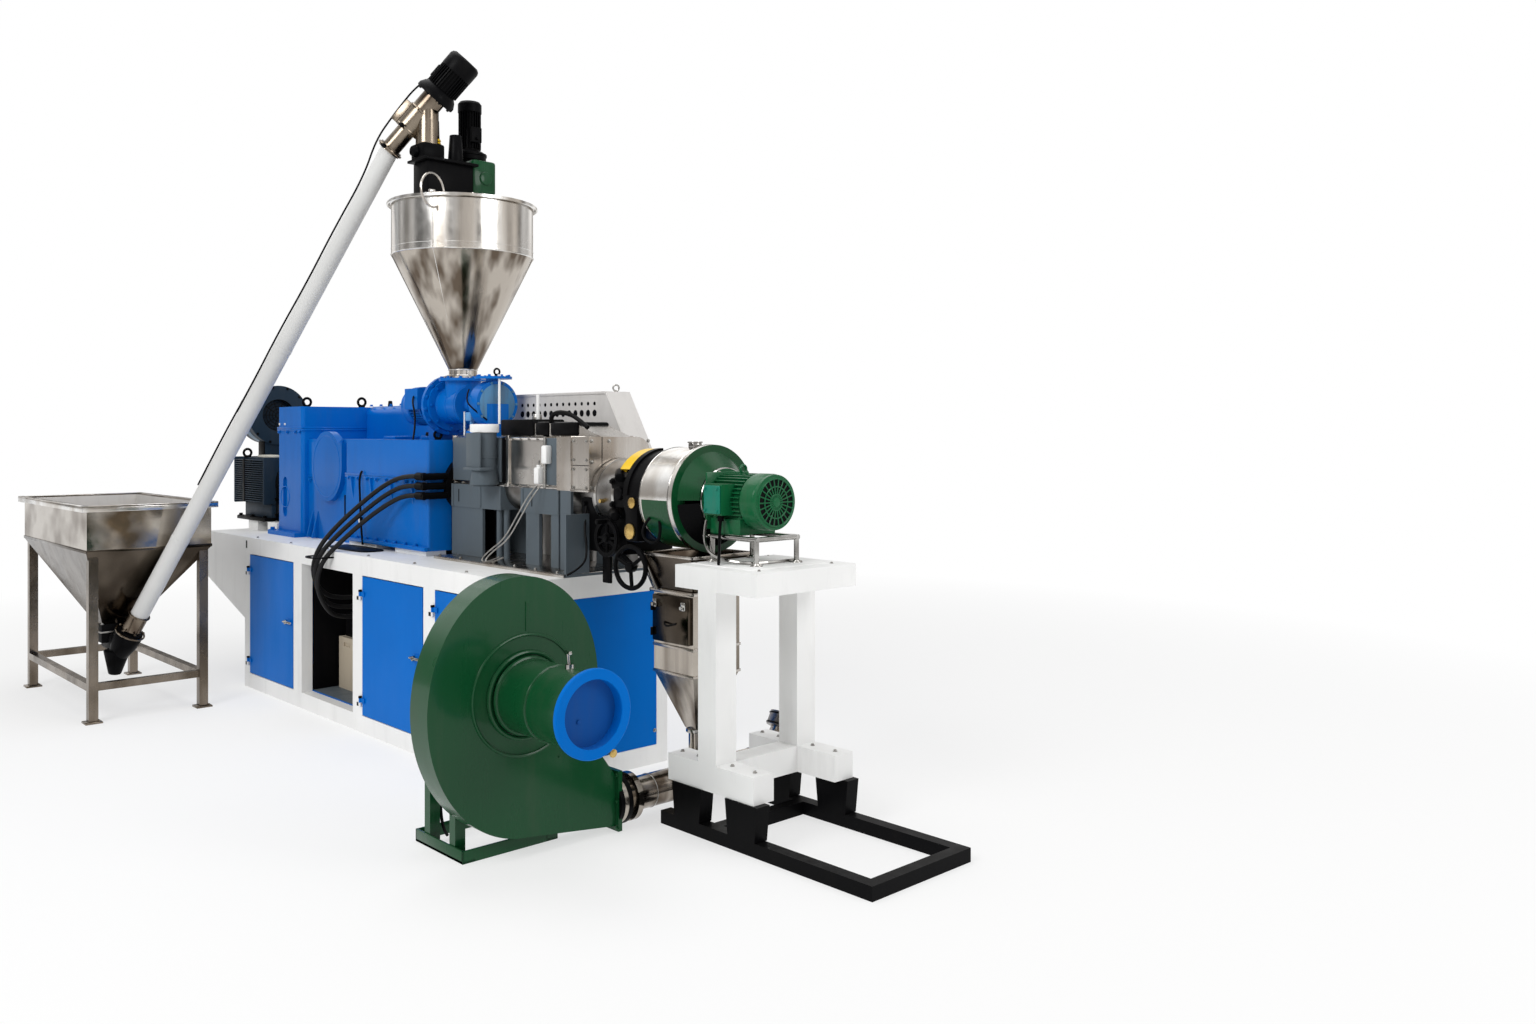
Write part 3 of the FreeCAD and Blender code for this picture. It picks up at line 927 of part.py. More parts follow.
V = FreeCAD.Vector
hose_start = size("gear_right") - 50 - size("hot_play")
hose_y = -size("flange_radius") - 113
end_x, front_y = -size("tank_left") + 225, -size("tank_front") + 8 - size("hot_play")
hoses = {
    "hose_1": [V(hose_start, hose_y, 1279), V(95, hose_y, 1279), V(-65, -300, 1225), V(-210, -350, 1130),
               V(-320, -430, 1015), V(-380, -510, 895), V(-400, -535, 770), V(-420, -480, 660),
               V(end_x, -385, 612), V(end_x, front_y, 612)],
    "hose_2": [V(hose_start, hose_y, 1231), V(105, hose_y, 1231), V(-45, -305, 1175), V(-185, -360, 1080),
               V(-285, -435, 975), V(-345, -515, 870), V(-365, -540, 745), V(-400, -480, 625),
               V(end_x, -385, 560), V(end_x, front_y, 560)],
    "hose_3": [V(hose_start, hose_y, 1183), V(115, hose_y, 1183), V(-25, -310, 1125), V(-155, -370, 1035),
               V(-250, -440, 935), V(-305, -520, 835), V(-325, -545, 715), V(-375, -480, 590),
               V(end_x, -385, 508), V(end_x, front_y, 508)],
}
for node, points in hoses.items():
    wire, radii = route(points)
    ring = Part.Wire([Part.makeCircle(size("hose_radius"), points[0], points[1] - points[0])])
    tube = doc.addObject("Part::Feature", "Hose")
    tube.Shape = wire.makePipeShell([ring], True, False)
    expected = math.pi * size("hose_radius") ** 2 * wire.Length
    print(node, "radii", [round(r) for r in radii], "volume ratio", round(tube.Shape.Volume / expected, 4))
    keep(node, tube)

doc.recompute()
for thing in doc.Objects:
    if "Invalid" in thing.State or "Error" in thing.State:
        raise RuntimeError(f"{thing.Name} {thing.Label} did not compute")
for node, piece in nodes:
    shape = piece.Shape
    if shape.isNull() or not shape.isValid() or not shape.Solids:
        raise RuntimeError(f"{node} is not a valid solid")
os.makedirs("parts", exist_ok=True)
for node, piece in nodes:
    piece.Shape.exportStep(f"parts/{node}.step")
print(len(nodes), "nodes")
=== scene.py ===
import math
from itertools import product

import bmesh
import bpy
from bpy.props import FloatProperty, FloatVectorProperty, IntProperty, PointerProperty
from mathutils import Matrix, Vector


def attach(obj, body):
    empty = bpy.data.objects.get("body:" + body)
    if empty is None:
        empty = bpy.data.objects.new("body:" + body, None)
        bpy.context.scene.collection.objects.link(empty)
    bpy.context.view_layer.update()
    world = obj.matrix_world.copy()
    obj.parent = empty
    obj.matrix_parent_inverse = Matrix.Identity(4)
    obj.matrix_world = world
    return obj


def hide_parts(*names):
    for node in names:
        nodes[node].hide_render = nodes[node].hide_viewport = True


bl_info = {
    "name": "Single screw extruder dressing",
    "version": (1, 0, 0),
    "blender": (4, 5, 0),
    "location": "3D View > Sidebar > Extruder",
    "description": "Finishes and small parts for a packed single screw extruder",
    "category": "Object",
}

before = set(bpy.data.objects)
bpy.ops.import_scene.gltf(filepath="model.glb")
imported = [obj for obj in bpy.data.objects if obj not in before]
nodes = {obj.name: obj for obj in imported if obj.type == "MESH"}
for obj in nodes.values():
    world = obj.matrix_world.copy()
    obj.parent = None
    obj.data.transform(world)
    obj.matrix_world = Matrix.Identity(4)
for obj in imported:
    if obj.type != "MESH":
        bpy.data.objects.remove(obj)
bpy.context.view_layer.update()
MACHINE, CARRIAGE = "machine", "cutter_carriage"

# Directions: the motor is at the left end, the die at the right, and the doors are in front
LEFT, RIGHT, FRONT, BACK, UP = (-1, 0, 0), (1, 0, 0), (0, -1, 0), (0, 1, 0), (0, 0, 1)

# Places that many pieces share, in millimetres
DECK = 880
LID = 2667
COLLECTOR = 2072


def along_x(y, z):
    """A function that gives the point at x on a line along X."""
    return lambda x: (x, y, z)


def along_y(x, z):
    """A function that gives the point at y on a line along Y."""
    return lambda y: (x, y, z)


def upright(x, y):
    """A function that gives the point at z on an upright line."""
    return lambda z: (x, y, z)


on_screw, on_feeder, on_motor = along_x(0, 1235), along_x(0, 1640), along_x(0, 1175)
on_volute, on_blower = along_x(0, 1612), along_x(-840, 575)
on_pipe, on_wheel = along_y(COLLECTOR, 104), along_y(1710, 1060)
over_hopper, over_agitator, over_spout = upright(213, 0), upright(140, 80), upright(215, -200)


# Colours and sizes that a user may change
class ExtruderPaint(bpy.types.PropertyGroup):
    white: FloatVectorProperty(name="Frame white", description="Paint of the base frame and the cutter stand",
                               subtype="COLOR", default=(0.90, 0.90, 0.89))
    blue: FloatVectorProperty(name="Door blue", description="Paint of the doors and the gearbox",
                              subtype="COLOR", default=(0.0, 0.145, 0.56))
    green: FloatVectorProperty(name="Blower green", description="Paint of the blower",
                               subtype="COLOR", default=(0.003, 0.060, 0.018))
    motor_green: FloatVectorProperty(name="Motor green", description="Paint of the cutter motor",
                                     subtype="COLOR", default=(0.004, 0.105, 0.035))
    zone_grey: FloatVectorProperty(name="Zone grey", description="Paint of the heating zone boxes",
                                   subtype="COLOR", default=(0.098, 0.122, 0.142))
    steel: FloatVectorProperty(name="Stainless", description="Colour of the stainless sheet",
                               subtype="COLOR", default=(0.60, 0.575, 0.545))


class ExtruderSizes(bpy.types.PropertyGroup):
    fins: IntProperty(name="Motor fins", description="Fins round each small motor", default=28, min=8, max=60)
    eye_height: FloatProperty(name="Camera height", description="Height of the camera above the floor",
                              default=1.5, min=0.2, max=4.0, unit="LENGTH")
    lens: FloatProperty(name="Camera lens", description="Focal length of the camera",
                        default=28.05, min=10.0, max=200.0, unit="CAMERA")
    view_turn: FloatProperty(name="Camera turn", description="Turn of the camera about the upright axis",
                             default=math.radians(46.2), subtype="ANGLE")


# Shader nodes
def socket_group(name, inputs):
    """An empty shader group that gives a colour, roughness and height; returns it with its end nodes."""
    tree = bpy.data.node_groups.new(name, "ShaderNodeTree")
    for label, kind, value in inputs:
        socket = tree.interface.new_socket(name=label, in_out="INPUT", socket_type="NodeSocket" + kind)
        socket.default_value = value
    for label, kind in (("Color", "Color"), ("Roughness", "Float"), ("Height", "Float")):
        tree.interface.new_socket(name=label, in_out="OUTPUT", socket_type="NodeSocket" + kind)
    return tree, tree.nodes.new("NodeGroupInput").outputs, tree.nodes.new("NodeGroupOutput").inputs


def put(tree, kind, links=(), **values):
    """Add a node, set its properties and sockets, and link outputs to its inputs."""
    node = tree.nodes.new(kind)
    for key, value in values.items():
        if hasattr(node, key):
            setattr(node, key, value)
        else:
            node.inputs[key.replace("_", " ")].default_value = value
    for source, target in links:
        tree.links.new(source, node.inputs[target])
    return node


def noise(tree, place, scale, detail=3.0, roughness=0.55):
    """A noise value that changes with the place."""
    return put(tree, "ShaderNodeTexNoise", [(place, "Vector")], Scale=scale, Detail=detail,
               Roughness=roughness).outputs["Fac"]


def spread(tree, value, low, high, out_low=0.0, out_high=1.0):
    """Remap a value, held to its ends."""
    node = put(tree, "ShaderNodeMapRange", [(value, 0)])
    for index, number in enumerate((low, high, out_low, out_high), start=1):
        node.inputs[index].default_value = number
    return node.outputs[0]


def worked(tree, operation, first, second, kind="Math"):
    """The result of one sum or product of two values, or of two vectors."""
    return put(tree, "ShaderNode" + kind, [(first, 0), (second, 1)], operation=operation).outputs[0]


def grey(tree, value):
    """A grey as bright as a value."""
    return put(tree, "ShaderNodeCombineColor", [(value, 0), (value, 1), (value, 2)]).outputs[0]


def blend_colour(tree, amount, first, second, mode="MIX"):
    """Blend two colours; each input is a link, a number or a colour."""
    node = put(tree, "ShaderNodeMix", data_type="RGBA", blend_type=mode)
    for source, target in ((amount, 0), (first, 6), (second, 7)):
        if isinstance(source, (float, tuple)):
            node.inputs[target].default_value = source
        else:
            tree.links.new(source, node.inputs[target])
    return node.outputs[2]


def blend_shader(tree, amount, first, second):
    """Blend two shaders."""
    return put(tree, "ShaderNodeMixShader", [(amount, 0), (first, 1), (second, 2)]).outputs[0]


def paint_group():
    """Sprayed paint: slow shade changes, runs of grime, dust on top faces and a faint orange peel."""
    tree, given, result = socket_group("sprayed_paint", [
        ("Color", "Color", (0.8, 0.8, 0.8, 1)), ("Grime", "Float", 0.2), ("Dust", "Float", 0.1),
        ("Roughness", "Float", 0.35)])
    grime_colour, dust_colour = (0.10, 0.085, 0.07, 1), (0.42, 0.40, 0.37, 1)
    place = put(tree, "ShaderNodeTexCoord").outputs["Object"]
    tall = put(tree, "ShaderNodeMapping", [(place, "Vector")], Scale=(5.0, 5.0, 0.9)).outputs[0]
    runs = noise(tree, tall, 2.4, 6, 0.65)
    shade = grey(tree, spread(tree, noise(tree, place, 1.7, 3), 0.3, 0.7, 0.93, 1.04))
    toned = blend_colour(tree, 1.0, given["Color"], shade, "MULTIPLY")
    stain = worked(tree, "MULTIPLY", spread(tree, runs, 0.52, 0.78), given["Grime"])
    dirty = blend_colour(tree, stain, toned, grime_colour)
    normal = put(tree, "ShaderNodeNewGeometry").outputs["Normal"]
    up = put(tree, "ShaderNodeSeparateXYZ", [(normal, 0)]).outputs[2]
    top = worked(tree, "MULTIPLY", spread(tree, up, 0.6, 1.0), given["Dust"])
    tree.links.new(blend_colour(tree, top, dirty, dust_colour), result["Color"])
    rough = worked(tree, "ADD", given["Roughness"], spread(tree, runs, 0.3, 0.8, -0.06, 0.16))
    tree.links.new(rough, result["Roughness"])
    tree.links.new(noise(tree, place, 160.0, 2), result["Height"])
    return tree


def steel_group():
    """Brushed or rolled steel: fine grain along one way, broad warm and dark painted reflections, and smears.
    """
    tree, given, result = socket_group("steel_grain_and_painted_reflections", [
        ("Color", "Color", (0.5, 0.5, 0.5, 1)), ("Tint", "Color", (0.3, 0.25, 0.2, 1)),
        ("Bands", "Float", 0.5), ("Grain", "Vector", (1.0, 1.0, 30.0)),
        ("Band size", "Vector", (3.0, 3.0, 0.5)), ("Roughness", "Float", 0.25)])
    place = put(tree, "ShaderNodeTexCoord").outputs["Object"]
    grain_place = worked(tree, "MULTIPLY", place, given["Grain"], "VectorMath")
    # Broad warm and dark patches of a second colour: painted reflections of the surroundings.
    reflection_place = worked(tree, "MULTIPLY", place, given["Band size"], "VectorMath")
    grain = noise(tree, grain_place, 14.0, 4, 0.7)
    reflections = noise(tree, reflection_place, 1.6, 2, 0.45)
    smears = noise(tree, place, 9.0, 4, 0.6)
    amount = worked(tree, "MULTIPLY", spread(tree, reflections, 0.42, 0.62), given["Bands"])
    warm = blend_colour(tree, amount, given["Color"], given["Tint"])
    streaks = grey(tree, spread(tree, grain, 0.3, 0.7, 0.9, 1.06))
    tree.links.new(blend_colour(tree, 1.0, warm, streaks, "MULTIPLY"), result["Color"])
    rough = worked(tree, "ADD", given["Roughness"], spread(tree, smears, 0.35, 0.75, -0.04, 0.14))
    tree.links.new(rough, result["Roughness"])
    tree.links.new(grain, result["Height"])
    return tree


# Finishes
GROUPS = {}
FINISHES = {}
SHINE, COAT_ROUGHNESS, BUMP_DEPTH = 0.14, 0.12, 0.001


def surface(name, group, metallic, bump, coat=0.0, **values):
    """A material whose colour, roughness and relief come from one of the shader groups."""
    material = bpy.data.materials.new(name)
    material.use_nodes = True
    tree = material.node_tree
    shader = tree.nodes["Principled BSDF"].inputs
    effect = put(tree, "ShaderNodeGroup")
    effect.node_tree = GROUPS[group]
    for key, value in values.items():
        socket = effect.inputs[key.replace("_", " ")]
        socket.default_value = (*value, 1.0) if socket.type == "RGBA" else value
    tree.links.new(effect.outputs["Color"], shader["Base Color"])
    tree.links.new(effect.outputs["Roughness"], shader["Roughness"])
    shader["Metallic"].default_value = metallic
    shader["Specular IOR Level"].default_value = SHINE
    if coat:
        shader["Coat Weight"].default_value = coat
        shader["Coat Roughness"].default_value = COAT_ROUGHNESS
    relief = put(tree, "ShaderNodeBump", [(effect.outputs["Height"], "Height")], Strength=bump,
                 Distance=BUMP_DEPTH)
    tree.links.new(relief.outputs["Normal"], shader["Normal"])
    FINISHES[name] = material


def make_paints(paint):
    """Painted, plastic and rubber surfaces: colour, grime, dust, roughness, bump and coat."""
    gear_blue = [0.95 * share for share in paint.blue]
    for name, colour, grime, dust, roughness, bump, coat in (
            ("frame_white", paint.white, 0.10, 0.0, 0.38, 0.05, 0.0),
            ("door_blue", paint.blue, 0.04, 0.03, 0.34, 0.0, 0.0),
            ("gear_blue", gear_blue, 0.15, 0.03, 0.34, 0.25, 0.2),
            # A darker copy of the door blue: painted shade inside the blower inlet.
            ("shaded_door_blue", (0.0, 0.07, 0.30), 0.1, 0.0, 0.5, 0.1, 0.0),
            ("pale_blue", (0.12, 0.34, 0.66), 0.5, 0.0, 0.4, 0.3, 0.0),
            ("speckled_blue", (0.09, 0.24, 0.42), 0.75, 0.0, 0.45, 0.5, 0.0),
            ("black_paint", (0.003, 0.003, 0.0035), 0.03, 0.005, 0.36, 0.1, 0.0),
            ("slate_paint", (0.012, 0.026, 0.045), 0.15, 0.04, 0.42, 0.2, 0.0),
            ("steel_blue", (0.06, 0.13, 0.21), 0.2, 0.05, 0.32, 0.1, 0.0),
            ("zone_grey", paint.zone_grey, 0.2, 0.06, 0.4, 0.1, 0.0),
            ("guard_paint", (0.66, 0.64, 0.62), 0.16, 0.0, 0.42, 0.1, 0.0),
            ("blower_green", paint.green, 0.12, 0.03, 0.28, 0.1, 0.3),
            ("motor_green", paint.motor_green, 0.3, 0.08, 0.34, 0.2, 0.2),
            ("teal_cover", (0.010, 0.19, 0.13), 0.2, 0.0, 0.36, 0.2, 0.1),
            ("tank_beige", (0.50, 0.43, 0.33), 0.35, 0.1, 0.42, 0.1, 0.0),
            ("yellow_paint", (0.86, 0.55, 0.02), 0.15, 0.0, 0.32, 0.1, 0.2),
            ("cream_plastic", (0.70, 0.68, 0.60), 0.08, 0.0, 0.45, 0.03, 0.0),
            ("pale_tube", (0.62, 0.62, 0.61), 0.02, 0.0, 0.24, 0.0, 0.0),
            ("hose_rubber", (0.014, 0.014, 0.015), 0.1, 0.03, 0.5, 0.4, 0.0)):
        surface(name, "paint", 0.0, bump, coat, Color=colour, Grime=grime, Dust=dust, Roughness=roughness)
    for name, socket, level in (("steel_blue", "Metallic", 0.3), ("black_paint", "Specular IOR Level", 0.05),
                                ("door_blue", "Specular IOR Level", 0.04),
                                ("gear_blue", "Specular IOR Level", 0.06)):
        FINISHES[name].node_tree.nodes["Principled BSDF"].inputs[socket].default_value = level


def make_steels(steel):
    """Bare metals: colour, colour and share of the painted reflections, grain, their size, roughness and
    bump.
    """
    upright_grain, level_grain, worn_grain = (40.0, 40.0, 0.6), (0.6, 0.6, 40.0), (30.0, 30.0, 0.8)
    for name, colour, reflection_colour, reflections, grain, reflection_size, roughness, bump in (
            ("stainless", steel, (0.30, 0.245, 0.19), 0.7, upright_grain, (3.2, 3.2, 0.35), 0.2, 0.10),
            ("hopper_stainless", (0.80, 0.79, 0.77), (0.46, 0.41, 0.35), 0.75, upright_grain,
             (5.5, 5.5, 0.3), 0.17, 0.06),
            ("bin_stainless", (0.46, 0.42, 0.37), (0.13, 0.095, 0.06), 1.0, level_grain,
             (2.4, 2.4, 2.8), 0.1, 0.02),
            ("funnel_stainless", (0.11, 0.09, 0.07), (0.045, 0.035, 0.026), 1.0, (8.0, 8.0, 8.0),
             (3.0, 3.0, 1.2), 0.14, 0.03),
            ("cone_stainless", (0.50, 0.455, 0.40), (0.13, 0.10, 0.075), 1.0, upright_grain,
             (7.0, 7.0, 0.22), 0.15, 0.04),
            ("brown_stainless", (0.27, 0.225, 0.175), (0.085, 0.062, 0.045), 1.0, worn_grain,
             (5.0, 5.0, 2.0), 0.2, 0.08),
            ("dark_stainless", (0.24, 0.20, 0.16), (0.11, 0.085, 0.06), 0.8, worn_grain,
             (5.0, 5.0, 2.0), 0.22, 0.08),
            ("machined_steel", (0.33, 0.32, 0.31), (0.11, 0.10, 0.09), 0.7, (60.0, 6.0, 6.0),
             (6.0, 6.0, 6.0), 0.3, 0.15),
            ("polished_steel", (0.50, 0.49, 0.47), (0.16, 0.15, 0.14), 0.7, (20.0, 20.0, 20.0),
             (7.0, 7.0, 7.0), 0.1, 0.02),
            ("bolt_steel", (0.45, 0.44, 0.42), (0.20, 0.19, 0.18), 0.5, (9.0, 9.0, 9.0),
             (20.0, 20.0, 20.0), 0.3, 0.05),
            ("brass", (0.72, 0.50, 0.17), (0.42, 0.26, 0.08), 0.5, (9.0, 9.0, 9.0),
             (14.0, 14.0, 14.0), 0.24, 0.05)):
        surface(name, "steel", 1.0, bump, Color=colour, Tint=reflection_colour, Bands=reflections, Grain=grain,
                Band_size=reflection_size, Roughness=roughness)


CARRIED = {
    "frame_white": ["base_long_beams", "base_cross_beams", "base_posts", "base_deck", "motor_shelf",
                    "door_hinges", "packers", "stand_table", "stand_legs"],
    "door_blue": ["base_panels", "door_1", "door_2", "door_3"],
    "gear_blue": ["gear_end_block", "gear_housing", "gear_cover", "feeder_drive", "feeder_body"],
    "tank_beige": ["oil_tank"],
    "black_paint": ["oil_pump", "feed_flange", "die_block", "handwheel", "agitator_gearbox", "agitator_motor",
                    "auger_boot", "auger_motor", "rail_brackets", "floor_rails", "rail_cross_bars"],
    "slate_paint": ["main_motor", "motor_blower"],
    "zone_grey": ["zone_boxes", "zone_duct", "barrel_stand"],
    "stainless": ["zone_hoods", "end_cover"],
    "hopper_stainless": ["hopper_shell", "hopper_lid", "cutter_drum"],
    "bin_stainless": ["bin_shell"],
    "dark_stainless": ["bin_stand"],
    "brown_stainless": ["collector_mouth", "auger_head"],
    "cone_stainless": ["collector_box", "pickup_pipe"],
    "machined_steel": ["barrel", "die_head", "pipe_coupling"],
    "polished_steel": ["motor_frame"],
    "guard_paint": ["rear_guard"],
    "blower_green": ["cutter_cover", "blower_scroll", "blower_motor", "blower_stand"],
    "motor_green": ["cutter_motor"],
    "pale_tube": ["auger_tube"],
}
# A finish has a slot of its own name, apart from these
SLOTS = {name: name for name in CARRIED}
SLOTS.update({
    "pale_blue": "gear_blue", "speckled_blue": "gear_blue", "shaded_door_blue": "door_blue",
    "steel_blue": "slate_paint", "zone_grey": "grey_paint", "blower_green": "green_paint",
    "teal_cover": "motor_green", "tank_beige": "beige_paint", "yellow_paint": "guard_paint",
    "cream_plastic": "guard_paint", "hopper_stainless": "stainless", "bin_stainless": "stainless",
    "funnel_stainless": "stainless", "cone_stainless": "stainless", "brown_stainless": "stainless",
    "dark_stainless": "stainless", "polished_steel": "machined_steel", "bolt_steel": "machined_steel",
    "brass": "machined_steel",
})


# Mesh helpers, with places and sizes in millimetres
def metres(point):
    """A point in metres."""
    return Vector(point) / 1000


def join(bm, part, place=None):
    """Clean one shape, put it in place and add it to a larger mesh."""
    bmesh.ops.remove_doubles(part, verts=part.verts, dist=1e-6)
    bmesh.ops.recalc_face_normals(part, faces=part.faces)
    if place is not None:
        part.transform(place)
    mesh = bpy.data.meshes.new("part")
    part.to_mesh(mesh)
    part.free()
    bm.from_mesh(mesh)
    bpy.data.meshes.remove(mesh)


def soften(part, amount, sharp=30):
    """Bevel the edges that turn by more than an angle."""
    edges = [e for e in part.edges if len(e.link_faces) == 2 and e.calc_face_angle(0) > math.radians(sharp)]
    bmesh.ops.bevel(part, geom=edges, offset=amount / 1000, offset_type="OFFSET", segments=2, profile=0.5,
                    affect="EDGES", clamp_overlap=True, material=-1)


def aim(place, axis):
    """The matrix that puts a shape's own Z at a place and along an axis."""
    return Matrix.Translation(place) @ Vector(axis).to_track_quat("Z", "Y").to_matrix().to_4x4()


def around(reach, degrees):
    """A point on a circle about the origin."""
    turn = math.radians(degrees)
    return Vector((reach * math.cos(turn), reach * math.sin(turn), 0))


def brick(bm, x, y, z, soft=2.0, turn=None):
    """A softened box given by its ranges, turned about its middle if asked."""
    low, high = (metres(corner) for corner in zip(x, y, z))
    part = bmesh.new()
    bmesh.ops.create_cube(part, size=1.0)
    bmesh.ops.scale(part, vec=high - low, verts=part.verts)
    if soft:
        soften(part, soft)
    place = Matrix.Translation((low + high) / 2)
    join(bm, part, place @ turn if turn is not None else place)


def turned_box(bm, middle, half, soft, turn):
    """A softened box of the given half sizes, turned about its middle."""
    half = Vector(half)
    brick(bm, *zip(middle - half, middle + half), soft, turn)


def slab(bm, corners, depth, soft=0.0):
    """A flat plate with the given corners, thickened along a direction."""
    part = bmesh.new()
    face = part.faces.new([part.verts.new(metres(corner)) for corner in corners])
    made = bmesh.ops.extrude_face_region(part, geom=[face])
    moved = [item for item in made["geom"] if isinstance(item, bmesh.types.BMVert)]
    bmesh.ops.translate(part, vec=metres(depth), verts=moved)
    bmesh.ops.recalc_face_normals(part, faces=part.faces)
    if soft:
        soften(part, soft)
    join(bm, part)


def rod(bm, start, end, radius, end_radius=None, soft=0.0, sides=36):
    """A round bar or taper between two points."""
    start, end = metres(start), metres(end)
    long = (end - start).length
    part = bmesh.new()
    bmesh.ops.create_cone(part, cap_ends=True, segments=sides, radius1=radius / 1000,
                          radius2=(radius if end_radius is None else end_radius) / 1000, depth=long,
                          matrix=Matrix.Translation((0, 0, long / 2)))
    if soft:
        soften(part, soft, 50)
    join(bm, part, aim(start, end - start))


def turn_about(part, geom, sweep, steps):
    """Spin part of a shape about its own Z, and close a full turn."""
    bmesh.ops.spin(part, geom=geom, cent=(0, 0, 0), axis=UP, dvec=(0, 0, 0), angle=math.radians(sweep),
                   steps=steps, use_merge=sweep == 360, use_duplicate=False)


def spun(bm, profile, start, end, sides=56, sweep=360.0, first=0.0):
    """A shape turned about the line from start to end; profile holds radius and distance along the line."""
    part = bmesh.new()
    verts = [part.verts.new((radius / 1000, 0, along / 1000)) for radius, along in profile]
    edges = [part.edges.new(pair) for pair in zip(verts, verts[1:])]
    turn_about(part, verts + edges, sweep, sides)
    start, end = metres(start), metres(end)
    join(bm, part, aim(start, end - start) @ Matrix.Rotation(math.radians(first), 4, "Z"))


def ring(bm, centre, axis, radius, thick, sides=56, sweep=360.0, first=0.0, facets=8):
    """A round-section ring or arc about an axis."""
    part = bmesh.new()
    place = Matrix.Translation((radius / 1000, 0, 0)) @ Matrix.Rotation(math.pi / 2, 4, "X")
    bmesh.ops.create_circle(part, cap_ends=sweep < 360, segments=facets, radius=thick / 1000, matrix=place)
    geom = part.faces[:] if sweep < 360 else part.verts[:] + part.edges[:]
    turn_about(part, geom, sweep, sides)
    join(bm, part, aim(metres(centre), axis) @ Matrix.Rotation(math.radians(first), 4, "Z"))


def bolt(bm, seat, axis, radius):
    """A hexagon head with its washer, standing on a face."""
    seat, axis = Vector(seat), Vector(axis).normalized()
    washer = seat + axis * radius * 0.25
    rod(bm, seat, washer, radius * 1.45, sides=20)
    rod(bm, washer, seat + axis * radius * 1.2, radius, soft=radius * 0.08, sides=6)


def bolt_rows(bm, x, y, z, axis, radius):
    """Bolts at every mix of the given places; a bare number is a row of one."""
    for seat in product(*((row,) if isinstance(row, (int, float)) else row for row in (x, y, z))):
        bolt(bm, seat, axis, radius)


def bolt_circle(bm, centre, axis, reach, count, radius, first=0.0):
    """Bolts on a circle."""
    turn = aim(Vector(centre), axis)
    for i in range(count):
        bolt(bm, turn @ around(reach, first + 360 * i / count), axis, radius)


def smooth_line(name, points, steps):
    """A curve of one NURBS spline, with its control points in metres."""
    curve = bpy.data.curves.new(name, "CURVE")
    curve.dimensions = "3D"
    spline = curve.splines.new("NURBS")
    spline.points.add(len(points) - 1)
    for point, place in zip(spline.points, points):
        point.co = (*place, 1.0)
    spline.order_u = 3
    spline.use_endpoint_u = True
    curve.resolution_u = steps
    return curve


def line_mesh(curve):
    """The mesh that a curve gives."""
    holder = bpy.data.objects.new("path", curve)
    mesh = bpy.data.meshes.new_from_object(holder)
    bpy.data.objects.remove(holder)
    return mesh


def wire(bm, points, radius, sides=10):
    """A fixed rod, pipe or wire along a few points, bent smoothly."""
    curve = smooth_line("path", [metres(point) for point in points], 8)
    curve.bevel_depth = radius / 1000
    curve.bevel_resolution = max(1, sides // 4 - 1)
    curve.use_fill_caps = True
    mesh = line_mesh(curve)
    bm.from_mesh(mesh)
    bpy.data.curves.remove(curve)
    bpy.data.meshes.remove(mesh)


def fin_ring(bm, start, end, inner, outer, count, thick=3.0):
    """Fins that run along a round motor body."""
    start, end = metres(start), metres(end)
    turn, long = aim(start, end - start), (end - start).length
    for i in range(count):
        part = bmesh.new()
        bmesh.ops.create_cube(part, size=1.0)
        bmesh.ops.scale(part, vec=((outer - inner) / 1000, thick / 1000, long), verts=part.verts)
        bmesh.ops.translate(part, vec=((outer + inner) / 2000, 0, long / 2), verts=part.verts)
        join(bm, part, turn @ Matrix.Rotation(2 * math.pi * i / count, 4, "Z"))


def grille(bm, centre, axis, radius, rings=4, spokes=12, thick=2.2):
    """A fan guard of wire rings and spokes."""
    for i in range(1, rings + 1):
        ring(bm, centre, axis, radius * i / rings, thick, sides=40, facets=6)
    turn = aim(Vector(centre), axis)
    for i in range(spokes):
        spoke = around(radius, 360 * i / spokes)
        rod(bm, turn @ (spoke * 0.12), turn @ spoke, thick, sides=6)


def eye(bm, foot, height, radius, thick, axis=RIGHT):
    """A lifting eye: a short shank, a collar and a ring."""
    x, y, z = foot
    rod(bm, foot, (x, y, z + height), thick * 1.3)
    rod(bm, foot, (x, y, z + thick), thick * 2.4)
    ring(bm, (x, y, z + height + radius), axis, radius, thick)


def seam(bm, x, y, z):
    """The two flange lips where a housing's halves meet."""
    for low in (z, z + 12):
        brick(bm, x, y, (low, low + 10), 1)


def add_piece(name, bm, finish_name, body=MACHINE, replaced=()):
    """Turn a mesh into a piece: smooth by angle, finished and riding on a body."""
    mesh = bpy.data.meshes.new(name)
    bm.to_mesh(mesh)
    bm.free()
    mesh.polygons.foreach_set("use_smooth", [True] * len(mesh.polygons))
    mesh.set_sharp_from_angle(angle=math.radians(35))
    mesh.materials.append(FINISHES[finish_name])
    piece = bpy.data.objects.new(name, mesh)
    bpy.context.scene.collection.objects.link(piece)
    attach(piece, body)
    if replaced:
        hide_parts(*replaced)


# Stage
def make_camera(scene):
    """A camera at the photograph's viewing angle."""
    sizes = scene.extruder_sizes
    data = bpy.data.cameras.new("camera")
    data.lens = sizes.lens
    data.sensor_width = 36.0
    data.shift_y = -0.052
    data.clip_end = 200
    camera = bpy.data.objects.new("camera", data)
    camera.location = (5.7646, -3.1418, sizes.eye_height)
    camera.rotation_euler = (math.radians(90), 0, sizes.view_turn)
    scene.collection.objects.link(camera)
    scene.camera = camera


